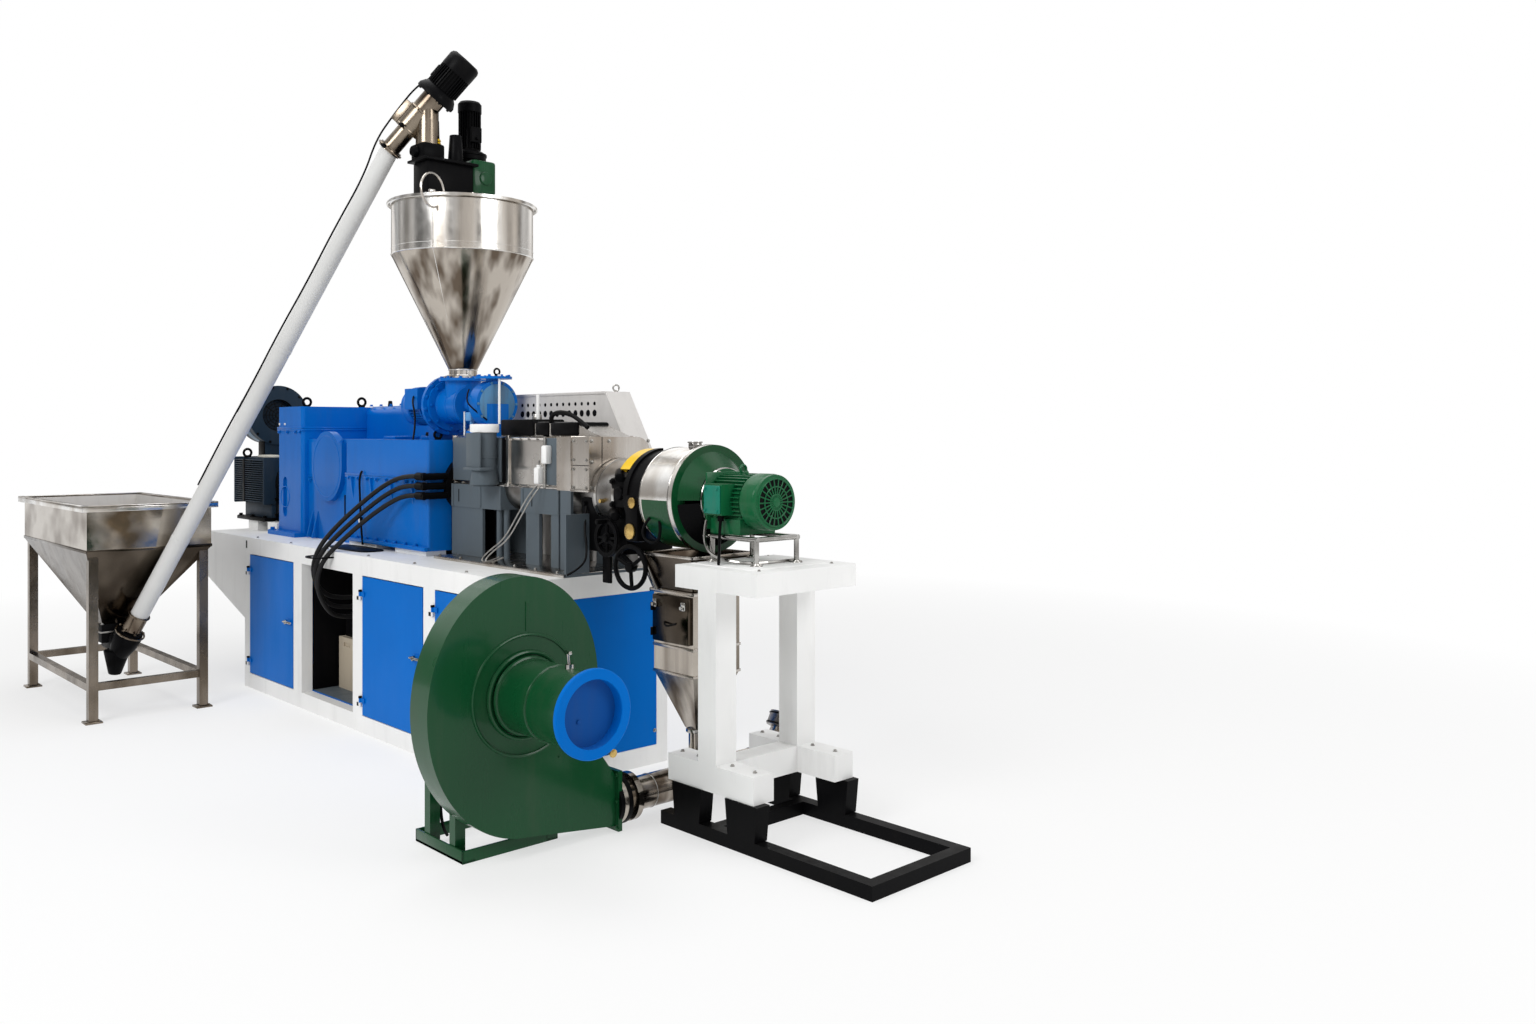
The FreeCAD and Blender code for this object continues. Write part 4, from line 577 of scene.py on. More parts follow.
def make_floor(scene):
    """A round pale floor that fades to white away from the machine."""
    bm = bmesh.new()
    bmesh.ops.create_circle(bm, cap_ends=True, segments=96, radius=60)
    mesh = bpy.data.meshes.new("floor")
    bm.to_mesh(mesh)
    bm.free()
    floor = bpy.data.objects.new("floor", mesh)
    scene.collection.objects.link(floor)
    material = bpy.data.materials.new("pale_floor")
    material.use_nodes = True
    tree = material.node_tree
    shader = tree.nodes["Principled BSDF"]
    shader.inputs["Base Color"].default_value = (0.88, 0.88, 0.875, 1)
    shader.inputs["Roughness"].default_value = 0.75
    shader.inputs["Specular IOR Level"].default_value = 0.15
    place = put(tree, "ShaderNodeTexCoord").outputs["Object"]
    far = put(tree, "ShaderNodeVectorMath", [(place, 0)], operation="LENGTH").outputs["Value"]
    glow = put(tree, "ShaderNodeEmission", Color=(1, 1, 1, 1), Strength=1.0)
    faded = blend_shader(tree, spread(tree, far, 2.5, 7.0, 0.6, 1.0), shader.outputs[0], glow.outputs[0])
    tree.links.new(faded, tree.nodes["Material Output"].inputs["Surface"])
    mesh.materials.append(material)


def make_world(scene):
    """Soft white light, a white background, and pale panels for the metal to mirror."""
    world = bpy.data.worlds.new("studio")
    scene.world = world
    world.use_nodes = True
    tree = world.node_tree
    light = tree.nodes["Background"]
    light.inputs["Color"].default_value = (1.0, 1.0, 1.0, 1)
    light.inputs["Strength"].default_value = 0.52
    seen = put(tree, "ShaderNodeBackground", Color=(1, 1, 1, 1), Strength=1.0)
    sky = put(tree, "ShaderNodeTexCoord").outputs["Generated"]
    height = put(tree, "ShaderNodeSeparateXYZ", [(sky, 0)]).outputs[2]
    ramp = put(tree, "ShaderNodeValToRGB", [(spread(tree, height, -1.0, 1.0), "Fac")])
    stops = ramp.color_ramp.elements
    stops[0].position, stops[0].color = 0.40, (0.30, 0.27, 0.24, 1)
    stops[1].position, stops[1].color = 0.72, (1.0, 1.0, 1.0, 1)
    stops.new(0.52).color = (0.52, 0.49, 0.46, 1)
    squat = put(tree, "ShaderNodeMapping", [(sky, "Vector")], Scale=(1.0, 1.0, 0.22)).outputs[0]
    panels = grey(tree, spread(tree, noise(tree, squat, 2.6, 2, 0.4), 0.40, 0.60, 0.22, 1.45))
    banded = blend_colour(tree, 1.0, ramp.outputs[0], panels, "MULTIPLY")
    mirrored = put(tree, "ShaderNodeBackground", [(banded, "Color")], Strength=1.0)
    path = put(tree, "ShaderNodeLightPath").outputs
    shiny = blend_shader(tree, path["Is Glossy Ray"], light.outputs[0], mirrored.outputs[0])
    whole = blend_shader(tree, path["Is Camera Ray"], shiny, seen.outputs[0])
    tree.links.new(whole, tree.nodes["World Output"].inputs["Surface"])


def make_lamps(scene):
    """Three round lamps: name, place, aim, width and power."""
    for name, place, target, wide, power in (
            ("key", (2.5, -6.5, 5.5), (0.3, 0, 1.0), 3.5, 245),
            ("side", (7.5, 1.5, 4.0), (0.5, 0, 1.0), 3.0, 105),
            ("top", (-0.5, -0.5, 7.0), (0.0, 0, 0.8), 4.5, 130)):
        lamp = bpy.data.lights.new(name, "AREA")
        lamp.shape, lamp.size, lamp.energy = "DISK", wide, power
        holder = bpy.data.objects.new(name, lamp)
        holder.location = place
        holder.rotation_euler = (Vector(target) - Vector(place)).to_track_quat("-Z", "Y").to_euler()
        scene.collection.objects.link(holder)


# Operators
class EXTRUDER_OT_finishes(bpy.types.Operator):
    """Make the materials and give each carried-over node its own"""
    bl_idname = "extruder.finishes"
    bl_label = "Finishes"

    def execute(self, context):
        GROUPS["paint"], GROUPS["steel"] = paint_group(), steel_group()
        make_paints(context.scene.extruder_paint)
        make_steels(context.scene.extruder_paint.steel)
        for name, held in CARRIED.items():
            for node in held:
                mesh = nodes[node].data
                mesh.materials.clear()
                mesh.materials.append(FINISHES[name])
        return {"FINISHED"}


class EXTRUDER_OT_stage(bpy.types.Operator):
    """Camera, floor, world and lamps"""
    bl_idname = "extruder.stage"
    bl_label = "Stage"

    def execute(self, context):
        scene = context.scene
        scene.view_settings.view_transform = "Standard"
        make_camera(scene)
        make_floor(scene)
        make_world(scene)
        make_lamps(scene)
        return {"FINISHED"}


class EXTRUDER_OT_hoses(bpy.types.Operator):
    """Three black hoses from the feed flange into the open bay, with their points in metres"""
    bl_idname = "extruder.hoses"
    bl_label = "Hoses"

    def execute(self, context):
        routes = {
            "hose_1": [(0.2437, -0.27, 1.279), (0.095, -0.27, 1.279), (-0.065, -0.3, 1.225),
                       (-0.21, -0.35, 1.13), (-0.32, -0.43, 1.015), (-0.38, -0.51, 0.895),
                       (-0.4, -0.535, 0.77), (-0.42, -0.48, 0.66), (-0.435, -0.385, 0.612),
                       (-0.435, -0.2623, 0.612)],
            "hose_2": [(0.2437, -0.27, 1.231), (0.105, -0.27, 1.231), (-0.045, -0.305, 1.175),
                       (-0.185, -0.36, 1.08), (-0.285, -0.435, 0.975), (-0.345, -0.515, 0.87),
                       (-0.365, -0.54, 0.745), (-0.4, -0.48, 0.625), (-0.435, -0.385, 0.56),
                       (-0.435, -0.2623, 0.56)],
            "hose_3": [(0.2437, -0.27, 1.183), (0.115, -0.27, 1.183), (-0.025, -0.31, 1.125),
                       (-0.155, -0.37, 1.035), (-0.25, -0.44, 0.935), (-0.305, -0.52, 0.835),
                       (-0.325, -0.545, 0.715), (-0.375, -0.48, 0.59), (-0.435, -0.385, 0.508),
                       (-0.435, -0.2623, 0.508)],
        }
        for name, points in routes.items():
            curve = smooth_line(name + "_run", points, 16)
            places = [v.co.copy() for v in line_mesh(curve).vertices]
            curve.bevel_depth, curve.bevel_resolution, curve.use_fill_caps = 0.012, 4, True
            curve.materials.append(FINISHES["hose_rubber"])
            hose = bpy.data.objects.new(name + "_run", curve)
            context.scene.collection.objects.link(hose)
            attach(hose, MACHINE)
            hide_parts(name)
        return {"FINISHED"}


class EXTRUDER_OT_base(bpy.types.Operator):
    """Slot, hinge caps, latches, hose loop, hose plate and the fittings of the open bay"""
    bl_idname = "extruder.base"
    bl_label = "Base"

    def execute(self, context):
        dark = bmesh.new()
        brick(dark, (-1484, -1464), (-471, -468), (815, 860), 1)
        for left, z in product((-1420, 54, 791), (130, 660)):
            brick(dark, (left - 40, left - 8), (-481, -479), (z + 2, z + 20), 0.6)
            rod(dark, (left - 6, -479, z + 44), (left - 6, -479, z + 54), 8.5)
        wire(dark, [(-430, -470, 850), (-430, -530, 850), (-418, -562, 850), (-360, -570, 850),
                    (-300, -562, 850), (-278, -530, 850), (-278, -470, 850)], 5)
        rim, count, squareness = [], 32, 0.55
        for i in range(count):
            wide, deep, _ = around(1, 360 * i / count)
            rim.append((-330 + 230 * math.copysign(abs(wide) ** squareness, wide),
                        -325 + 74 * math.copysign(abs(deep) ** squareness, deep), DECK))
        slab(dark, rim, (0, 0, 7), 2)
        brick(dark, (-1410, 1410), (297, 302), (90, 784), 1)
        for x in (-692, -49):
            brick(dark, (x, x + 4), (-400, 297), (90, 784), 1)
        add_piece("base_fittings", dark, "black_paint")
        inner = bmesh.new()
        brick(inner, (-1410, 1410), (-400, 300), (88, 90), 0.5)
        add_piece("bay_floor", inner, "zone_grey")
        for n, edge in ((1, -1415), (2, 59), (3, 796)):
            handle = bmesh.new()
            rod(handle, (edge + 526, -489, 450), (edge + 622, -489, 450), 6.5, soft=2)
            rod(handle, (edge + 559, -481, 450), (edge + 559, -495, 450), 12, soft=2)
            rod(handle, (edge + 559, -495, 450), (edge + 559, -498, 450), 5)
            add_piece(f"door_{n}_handle", handle, "polished_steel", f"door_{n}_leaf")
        nuts = bmesh.new()
        for z in (1183, 1231, 1279):
            rod(nuts, (246, -270, z), (270, -270, z), 17, soft=2, sides=6)
            rod(nuts, (238, -270, z), (246, -270, z), 14.5)
        for z in (508, 560, 612):
            rod(nuts, (-435, -262, z), (-435, -276, z), 17, soft=2, sides=6)
            rod(nuts, (-435, -276, z), (-435, -290, z), 14.5)
        rod(nuts, (1500, -18, 100), (1528, -18, 100), 11, sides=6)
        rod(nuts, (1528, -18, 100), (1536, -18, 100), 19, soft=2)
        rod(nuts, (-470, -236, 653), (-470, -236, 672), 10, sides=6)
        add_piece("base_nuts", nuts, "brass")
        caps = bmesh.new()
        rod(caps, (-410, -236, 653), (-410, -236, 680), 15, 11, 3)
        rod(caps, (-600, -200, 373), (-600, -200, 398), 30, 27, 4)
        add_piece("tank_caps", caps, "yellow_paint")
        screws = bmesh.new()
        bolt_rows(screws, (-1380, -900, -420, 60, 540, 1020, 1440), -440, DECK, UP, 6)
        for x, side in ((1496, RIGHT), (-1496, LEFT)):
            bolt_rows(screws, x, (-400, 240), (150, 740), side, 6)
        add_piece("base_screws", screws, "bolt_steel")
        return {"FINISHED"}


class EXTRUDER_OT_motor(bpy.types.Operator):
    """Finned main motor with its coupling bell, and the cooling volute's trim"""
    bl_idname = "extruder.motor"
    bl_label = "Main motor"

    def execute(self, context):
        body = bmesh.new()
        brick(body, (-2286, -1794), (-206, 206), (1052, 1326), 16)
        rib_long = (-2280, -1800)
        for i in range(20):
            z = 1060 + 13.7 * i
            for y in ((-248, -200), (200, 248)):
                brick(body, rib_long, y, (z, z + 5.2), 1)
        for y in range(-195, 196, 15):
            brick(body, rib_long, (y - 2.5, y + 2.5), (1320, 1337), 1)
        for x in (-2292, -1808):
            brick(body, (x, x + 18), (-250, 250), (1045, 1342), 7)
        brick(body, (-2240, -1800), (-196, 196), (958, 1058), 6)
        add_piece("main_motor_body", body, "slate_paint", replaced=["main_motor"])
        dark = bmesh.new()
        spun(dark, [(0, 0), (178, 0), (178, 22), (168, 27), (168, 150), (178, 156), (178, 196), (0, 196)],
             on_motor(-1790), on_motor(-1594))
        brick(dark, (-1788, -1596), (-176, 176), (941, 1175), 6)
        brick(dark, (-2250, -1790), (-245, 245), (940, 962), 4)
        brick(dark, (-2136, -2106), (-251, -196), (1054, 1328), 3)
        bolt_rows(dark, (-2220, -2020, -1820), (-230, 230), 962, UP, 12)
        eye(dark, (-2216, -190, 1334), 8, 24, 8)
        eye(dark, (-1860, 190, 1334), 8, 24, 8)
        bolt_circle(dark, on_motor(-1612), LEFT, 168, 14, 8)
        bolt_rows(dark, (-1770, -1616), -176, (980, 1080), FRONT, 9)
        add_piece("main_motor_bell", dark, "black_paint")
        plates = bmesh.new()
        brick(plates, (-2176, -2052), (-140, -52), (1337, 1352), 2)
        brick(plates, (-2034, -1904), (-140, -52), (1337, 1350), 2)
        add_piece("main_motor_plates", plates, "cream_plastic")
        valve = bmesh.new()
        rod(valve, (-1960, 40, 1334), (-1960, 40, 1384), 17, soft=3)
        rod(valve, (-1960, 40, 1384), (-1960, 40, 1396), 26, 20, 3)
        rod(valve, (-1960, 40, 1360), (-1920, 40, 1360), 9)
        add_piece("main_motor_valve", valve, "pale_blue")
        rim = bmesh.new()
        ring(rim, on_volute(-2193), RIGHT, 168, 9, sweep=290, first=-55)
        ring(rim, on_volute(-2193), RIGHT, 108, 8)
        ring(rim, on_volute(-2392), RIGHT, 176, 7)
        for y in (-92, 88):
            brick(rim, (-2286, -2194), (y - 2, y + 6), (1340, 1440), 2)
        bolt_circle(rim, on_volute(-2183), RIGHT, 184, 12, 6, 12)
        grille(rim, on_volute(-2192), RIGHT, 100, 5, 10)
        add_piece("volute_trim", rim, "black_paint")
        band = bmesh.new()
        spun(band, [(186, 0), (190, 0), (190, 64), (186, 64)], on_volute(-2336), on_volute(-2272))
        add_piece("volute_band", band, "steel_blue")
        return {"FINISHED"}


class EXTRUDER_OT_gearbox(bpy.types.Operator):
    """Seams, ribs, bolts, oil gauge and lifting eyes of the gearbox"""
    bl_idname = "extruder.gearbox"
    bl_label = "Gearbox"

    def execute(self, context):
        trim = bmesh.new()
        seam(trim, (-1592, -1227), (-244, 304), 1509)
        seam(trim, (-1235, -634), (-205, 304), 1222)
        seam(trim, (-642, 294), (-245, 304), 1254)
        for y in (-222, -12, 196):
            slab(trim, [(-1586, y, 904), (-1630, y, 904), (-1586, y, 1096)], (0, 24, 0), 2)
        for x in (-910, -765):
            brick(trim, (x - 8, x + 8), (-214, -198), (1300, 1456), 3)
        for x in (-1180, -1110):
            slab(trim, [(x, -198, 884), (x, -238, 884), (x, -198, 1050)], (16, 0, 0), 2)
        for x in (-560, -330, -100, 130):
            slab(trim, [(x, -239, 1254), (x, -256, 1254), (x, -239, 1130)], (14, 0, 0), 1)
        brick(trim, (-642, 297), (-262, -238), (905, 925), 3)
        bolt_rows(trim, range(-590, 290, 110), -245, 1250, FRONT, 8)
        bolt_rows(trim, range(-590, 290, 110), -251, 925, UP, 10)
        bolt_rows(trim, range(-1200, -650, 90), -205, 1218, FRONT, 8)
        bolt_rows(trim, (-1560, -1440, -1320, -1256), -244, 1500, FRONT, 7)
        bolt_rows(trim, -1616, (-262, -130, 130), 905, UP, 14)
        bolt_rows(trim, range(-1200, 80, 128), 176, 1657, UP, 9)
        ring(trim, (-918, -229, 1305), FRONT, 176, 3)
        ring(trim, (-1479, -240, 1110), FRONT, 62, 3)
        brick(trim, (-560, -420), (-60, 90), (1460, 1478), 4)
        rod(trim, (-200, 30, 1458), (-200, 30, 1480), 44, soft=4)
        add_piece("gearbox_trim", trim, "gear_blue")
        dark = bmesh.new()
        brick(dark, (-747, -731), (-203, -196), (1006, 1147), 3)
        wire(dark, [(-428, -246, 1290), (-428, -262, 1268), (-418, -262, 1150), (-400, -266, 1000),
                    (-385, -262, 894)], 5.5)
        rod(dark, (-1066, 232, 1657), (-1066, 232, 1690), 15, 11, 3)
        eye(dark, (-1494, -100, 1652), 8, 24, 8)
        eye(dark, (-1300, 160, 1652), 8, 24, 8)
        eye(dark, (60, -60, 1460), 6, 20, 7)
        rod(dark, (-200, 30, 1480), (-200, 30, 1500), 22, 18, 3)
        brick(dark, (-470, -430), (-246, -238), (1000, 1040), 3)
        add_piece("gearbox_dark", dark, "black_paint")
        pale = bmesh.new()
        bolt_rows(pale, (-1560, -1480), -240, 1548, FRONT, 5)
        rod(pale, (-450, -240, 1020), (-450, -250, 1020), 14)
        add_piece("gearbox_plugs", pale, "frame_white")
        return {"FINISHED"}


class EXTRUDER_OT_feeder(bpy.types.Operator):
    """Fins, flange bolts, gauges and wires of the force feeder"""
    bl_idname = "extruder.feeder"
    bl_label = "Feeder"

    def execute(self, context):
        fins = context.scene.extruder_sizes.fins
        blue = bmesh.new()
        fin_ring(blue, on_feeder(-184), on_feeder(-66), 83, 99, fins + 8, 4)
        for x in (-192, -66):
            spun(blue, [(82, 0), (103, 0), (103, 8), (82, 8)], on_feeder(x), on_feeder(x + 8))
        spun(blue, [(0, 0), (78, 0), (98, 12), (105, 30), (105, 72), (84, 74)],
             on_feeder(-267), on_feeder(-193))
        spun(blue, [(96, 0), (103, 2), (103, 22), (96, 24)], on_feeder(-30), on_feeder(-6))
        for x in (112, 200, 286):
            ring(blue, on_feeder(x), RIGHT, 96, 4)
        for x, side in ((82, 1), (60, -1)):
            bolt_circle(blue, on_feeder(x), (side, 0, 0), 144, 14, 8, 8)
        bolt_circle(blue, on_feeder(98), RIGHT, 118, 8, 7)
        bolt_circle(blue, over_hopper(1776), UP, 109, 10, 8)
        bolt_circle(blue, (509, 0, 1776), UP, 78, 8, 8)
        bolt_circle(blue, on_feeder(470), LEFT, 92, 8, 7)
        for y in (-52, 40):
            slab(blue, [(-40, y, 1470), (30, y, 1470), (30, y, 1600), (-4, y, 1600)], (0, 12, 0), 2)
        for x in (330, 400, 452):
            ring(blue, on_feeder(x), RIGHT, 43, 5)
        add_piece("feeder_trim", blue, "gear_blue")
        face = bmesh.new()
        spun(face, [(0, 0), (96, 0), (99, -2), (99, -5)], on_feeder(551), on_feeder(600))
        bolt_circle(face, on_feeder(549), RIGHT, 107, 10, 5)
        add_piece("feeder_drum_face", face, "speckled_blue")
        dark = bmesh.new()
        wire(dark, [(-100, -98, 1700), (-60, -150, 1690), (40, -170, 1560), (60, -200, 1462)], 5)
        wire(dark, [(440, -96, 1712), (480, -140, 1660), (540, -132, 1612), (552, -60, 1560)], 4)
        grille(dark, on_feeder(-268), LEFT, 80, 4, 8)
        eye(dark, (560, -10, 1776), 8, 15, 5)
        add_piece("feeder_wires", dark, "black_paint")
        white = bmesh.new()
        rod(white, (586, -12, 1540), (586, -12, 1764), 6)
        rod(white, (586, -12, 1764), (586, -12, 1784), 9)
        rod(white, (330, -58, 1462), (330, -58, 1604), 4.5)
        add_piece("feeder_rods", white, "frame_white")
        pale = bmesh.new()
        brick(pale, (368, 424), (-78, -30), (1556, 1600), 5)
        rod(pale, (396, -54, 1460), (396, -54, 1556), 10)
        add_piece("feeder_box", pale, "pale_blue")
        screws = bmesh.new()
        bolt_rows(screws, (458, 560), (-106, -40, 40, 106), 1506, UP, 6)
        bolt_circle(screws, over_hopper(1786), UP, 86, 8, 5)
        add_piece("feeder_screws", screws, "bolt_steel")
        return {"FINISHED"}


class EXTRUDER_OT_hopper(bpy.types.Operator):
    """Hopper shell with its rolled rim, cone, seams, hanging ring and lid trim"""
    bl_idname = "extruder.hopper"
    bl_label = "Hopper"

    def execute(self, context):
        bright = bmesh.new()
        spun(bright, [(352, 0), (355, 0), (355, 256), (370, 262), (377, 262), (377, 252), (370, 250)],
             over_hopper(2400), over_hopper(2600), 96)
        spun(bright, [(66, 0), (96, 0), (96, 10), (71, 10), (71, 43), (66, 43), (66, 0)], over_hopper(1776),
             over_hopper(1800), 72)
        ring(bright, over_hopper(2400), UP, 355, 3.2, sides=96)
        ring(bright, over_hopper(2432), UP, 355, 1.6, sides=96)
        ring(bright, over_hopper(1820), UP, 72, 3.5)
        ring(bright, over_hopper(1792), UP, 72, 3)
        across, out = 0.6, -0.8
        for low, low_z, high, high_z in ((70, 1824, 355.5, 2398), (356, 2404, 356, 2648)):
            wire(bright, [(213 + low * across, low * out, low_z),
                          (213 + high * across, high * out, high_z)], 1.6)
        add_piece("hopper_trim", bright, "hopper_stainless", replaced=["hopper_shell"])
        cone = bmesh.new()
        spun(cone, [(71, 0), (355, 582), (352, 582), (68, 0), (71, 0)],
             over_hopper(1818), over_hopper(1900), 96)
        add_piece("hopper_cone", cone, "cone_stainless")
        loop = bmesh.new()
        ring(loop, (455, -302, 2673), (0.931, 0.365, 0), 82, 5.5, sides=64)
        brick(loop, (430, 448), (-312, -282), (2664, 2680), 3)
        add_piece("hopper_ring", loop, "stainless")
        lid = bmesh.new()
        for i in range(10):
            bolt(lid, Vector(over_hopper(LID)) + around(338, 36 * (i + 0.4)), UP, 7)
        ring(lid, over_hopper(LID), UP, 352, 2.5, sides=96)
        ring(lid, over_spout(2669), UP, 74, 4)
        add_piece("hopper_lid_trim", lid, "stainless")
        return {"FINISHED"}


class EXTRUDER_OT_agitator(bpy.types.Operator):
    """Agitator drive: cover plate, knob, green adapter block and finned motor"""
    bl_idname = "extruder.agitator"
    bl_label = "Agitator"

    def execute(self, context):
        dark = bmesh.new()
        brick(dark, (34, 186), (-18, -9), (2682, 2862), 5)
        bolt_rows(dark, (48, 172), -18, (2697, 2847), FRONT, 8)
        rod(dark, (110, -18, 2772), (110, -40, 2772), 34, 28, 3)
        rod(dark, (110, 80, 2922), (110, 80, 2944), 62, 54, 4)
        rod(dark, (110, 80, 2944), (110, 80, 2962), 20, 16, 3)
        brick(dark, (12, 208), (-18, 178), (LID, 2683), 4)
        rod(dark, over_agitator(2920), over_agitator(2948), 84, soft=3)
        spun(dark, [(84, 0), (88, 2), (88, 12), (60, 30), (48, 34)], over_agitator(2944), over_agitator(2978))
        rod(dark, over_agitator(2950), over_agitator(3216), 46)
        fin_ring(dark, over_agitator(2984), over_agitator(3180), 46, 58, 26)
        spun(dark, [(46, 0), (61, 3), (61, 46), (52, 58), (0, 60)], over_agitator(3172), over_agitator(3232))
        bolt_circle(dark, over_agitator(2958), UP, 78, 6, 6)
        brick(dark, (186, 214), (50, 110), (3010, 3090), 5)
        rod(dark, (214, 80, 3030), (232, 80, 3030), 10)
        brick(dark, (176, 210), (10, 150), (2690, 2866), 8)
        brick(dark, (-96, 30), (-24, 150), (2680, 2838), 10)
        spun(dark, [(0, 0), (84, 0), (84, 14), (60, 18), (0, 18)], (-40, 60, 2838), (-40, 60, 2900))
        add_piece("agitator_trim", dark, "black_paint")
        green = bmesh.new()
        brick(green, (192, 306), (4, 140), (2722, 2900), 16)
        rod(green, (306, 76, 2806), (315, 76, 2806), 36, 32, 3)
        brick(green, (200, 290), (14, 130), (LID, 2724), 4)
        add_piece("agitator_block", green, "blower_green", replaced=["agitator_motor"])
        return {"FINISHED"}


class EXTRUDER_OT_auger(bpy.types.Operator):
    """Clamps, window, cable, boot ring, chute and motor of the auger loader"""
    bl_idname = "extruder.auger"
    bl_label = "Auger"

    def execute(self, context):
        foot, bend = Vector((-1290, -1215, 300)), Vector((71.7, -330.8, 2931.6))
        way, head = (bend - foot).normalized(), Vector((0.494, 0.451, 0.743)).normalized()
        left, window_side = Vector((-0.593, -0.619, 0.515)), Vector((-0.509, -0.543, 0.669))
        near = Vector((0.70, -0.71, -0.034)).normalized()
        long = (bend - foot).length
        turn = Matrix((head, window_side.cross(head), window_side)).transposed().to_4x4()
        steel, dark, drive, tube = (bmesh.new() for _ in range(4))
        for s in (0, 136, 250):
            ring(steel, bend + head * s, head, 60.5, 7, 40)
            rod(steel, bend + head * s + near * 58, bend + head * s + near * 84, 6, sides=12)
        rod(steel, foot + way * 172, foot + way * 262, 48.5, sides=40)
        ring(steel, foot + way * 262, way, 50, 6, 40)
        ring(steel, foot + way * 150, way, 73, 5, 40)
        bolt_circle(steel, foot + way * 172, way, 60, 6, 6)
        ring(steel, bend + head * 183 + window_side * 66, window_side, 32, 5, 32)
        bolt_circle(steel, bend + head * 357, -head, 74, 8, 5)
        spun(steel, [(54, 0), (70, 0), (70, 12), (54, 12)], over_spout(2668), over_spout(2680))
        spun(steel, [(56, 0), (60, 0), (56, 150), (54, 150)], over_spout(2920), over_spout(3070))
        for s in (0, 136):
            handle = bend + head * s + near * 84
            rod(dark, handle, handle + near * 26, 13, 9, 2, sides=16)
        points = [foot + way * (long * (0.34 + 0.1 * i)) + left * (53 + 6 * (i % 2)) for i in range(7)]
        points.append(bend + left * 85)
        for s, off in ((130, 100), (360, 110), (430, 68)):
            points.append(bend + head * s + window_side * off)
        wire(dark, points, 4.5, 8)
        rod(tube, foot + way * 260, bend, 46, sides=48)
        for share in (0.24, 0.62):
            spun(tube, [(45, -12), (47.5, -11), (47.5, 11), (45, 12)],
                 foot + way * long * share, foot + way * long * (share + 0.01))
        add_piece("auger_pipe", tube, "pale_tube", replaced=["auger_tube"])
        spun(drive, [(0, 0), (100, 0), (104, 4), (104, 20), (90, 45), (74, 60), (74, 200), (0, 200)],
             bend + head * 340, bend + head * 440)
        fin_ring(drive, bend + head * 400, bend + head * 510, 72, 83, 34, 3.4)
        spun(drive, [(70, 0), (83, 2), (84, 6), (84, 66), (79, 79), (66, 88), (0, 90)],
             bend + head * 504, bend + head * 594)
        bolt_circle(drive, bend + head * 340, -head, 92, 8, 6)
        turned_box(drive, bend + head * 450 + window_side * 70, (35, 30, 14), 4, turn)
        window = bend + head * 185 + window_side * 62
        turned_box(steel, window, (62, 38, 26), 4, turn)
        turned_box(dark, window + window_side * 26, (50, 28, 2), 1, turn)
        add_piece("auger_motor_body", drive, "black_paint", replaced=["auger_motor"])
        add_piece("auger_steel", steel, "brown_stainless")
        rod(dark, over_spout(2690), over_spout(2930), 60, 56, 2)
        brick(dark, (180, 330), (-262, -8), (LID, 2850), 8)
        brick(dark, (160, 350), (-284, 12), (2850, 2864), 3)
        brick(dark, (152, 282), (-262, -138), (2864, 2950), 14)
        rod(dark, (217, -262, 2906), (217, -290, 2906), 30, 24, 4)
        rod(dark, (262, -70, 2864), (262, -70, 3010), 40, 30, 4)
        add_piece("auger_dark", dark, "black_paint")
        boot = bmesh.new()
        spun(boot, [(0, 0), (34, 0), (50, 30), (66, 90), (70, 140), (64, 172), (47, 176), (0, 176)],
             foot - way * 14, foot + way * 200)
        rod(boot, (-1292, -1217, 330), (-1302, -1226, 200), 66, 30, 8)
        brick(boot, (-1485, -1315), (-1286, -1116), (370, 470), 6)
        brick(boot, (-1450, -1270), (-1256, -1160), (330, 420), 16)
        add_piece("auger_boot_rubber", boot, "black_paint", replaced=["auger_boot"])
        marks = bmesh.new()
        for z in (2958, 2972):
            ring(marks, over_spout(z), UP, 60, 5, sides=32, sweep=70, first=-150)
        add_piece("auger_marks", marks, "yellow_paint")
        gate = bmesh.new()
        bolt_rows(gate, (-1478, -1322), (-1280, -1122), 470, UP, 7)
        rod(gate, (-1315, -1201, 440), (-1262, -1201, 440), 5)
        rod(gate, (-1262, -1230, 440), (-1262, -1172, 440), 6, soft=1)
        brick(gate, (-1492, -1308), (-1293, -1109), (425, 433), 1)
        add_piece("slide_gate", gate, "bolt_steel")
        return {"FINISHED"}


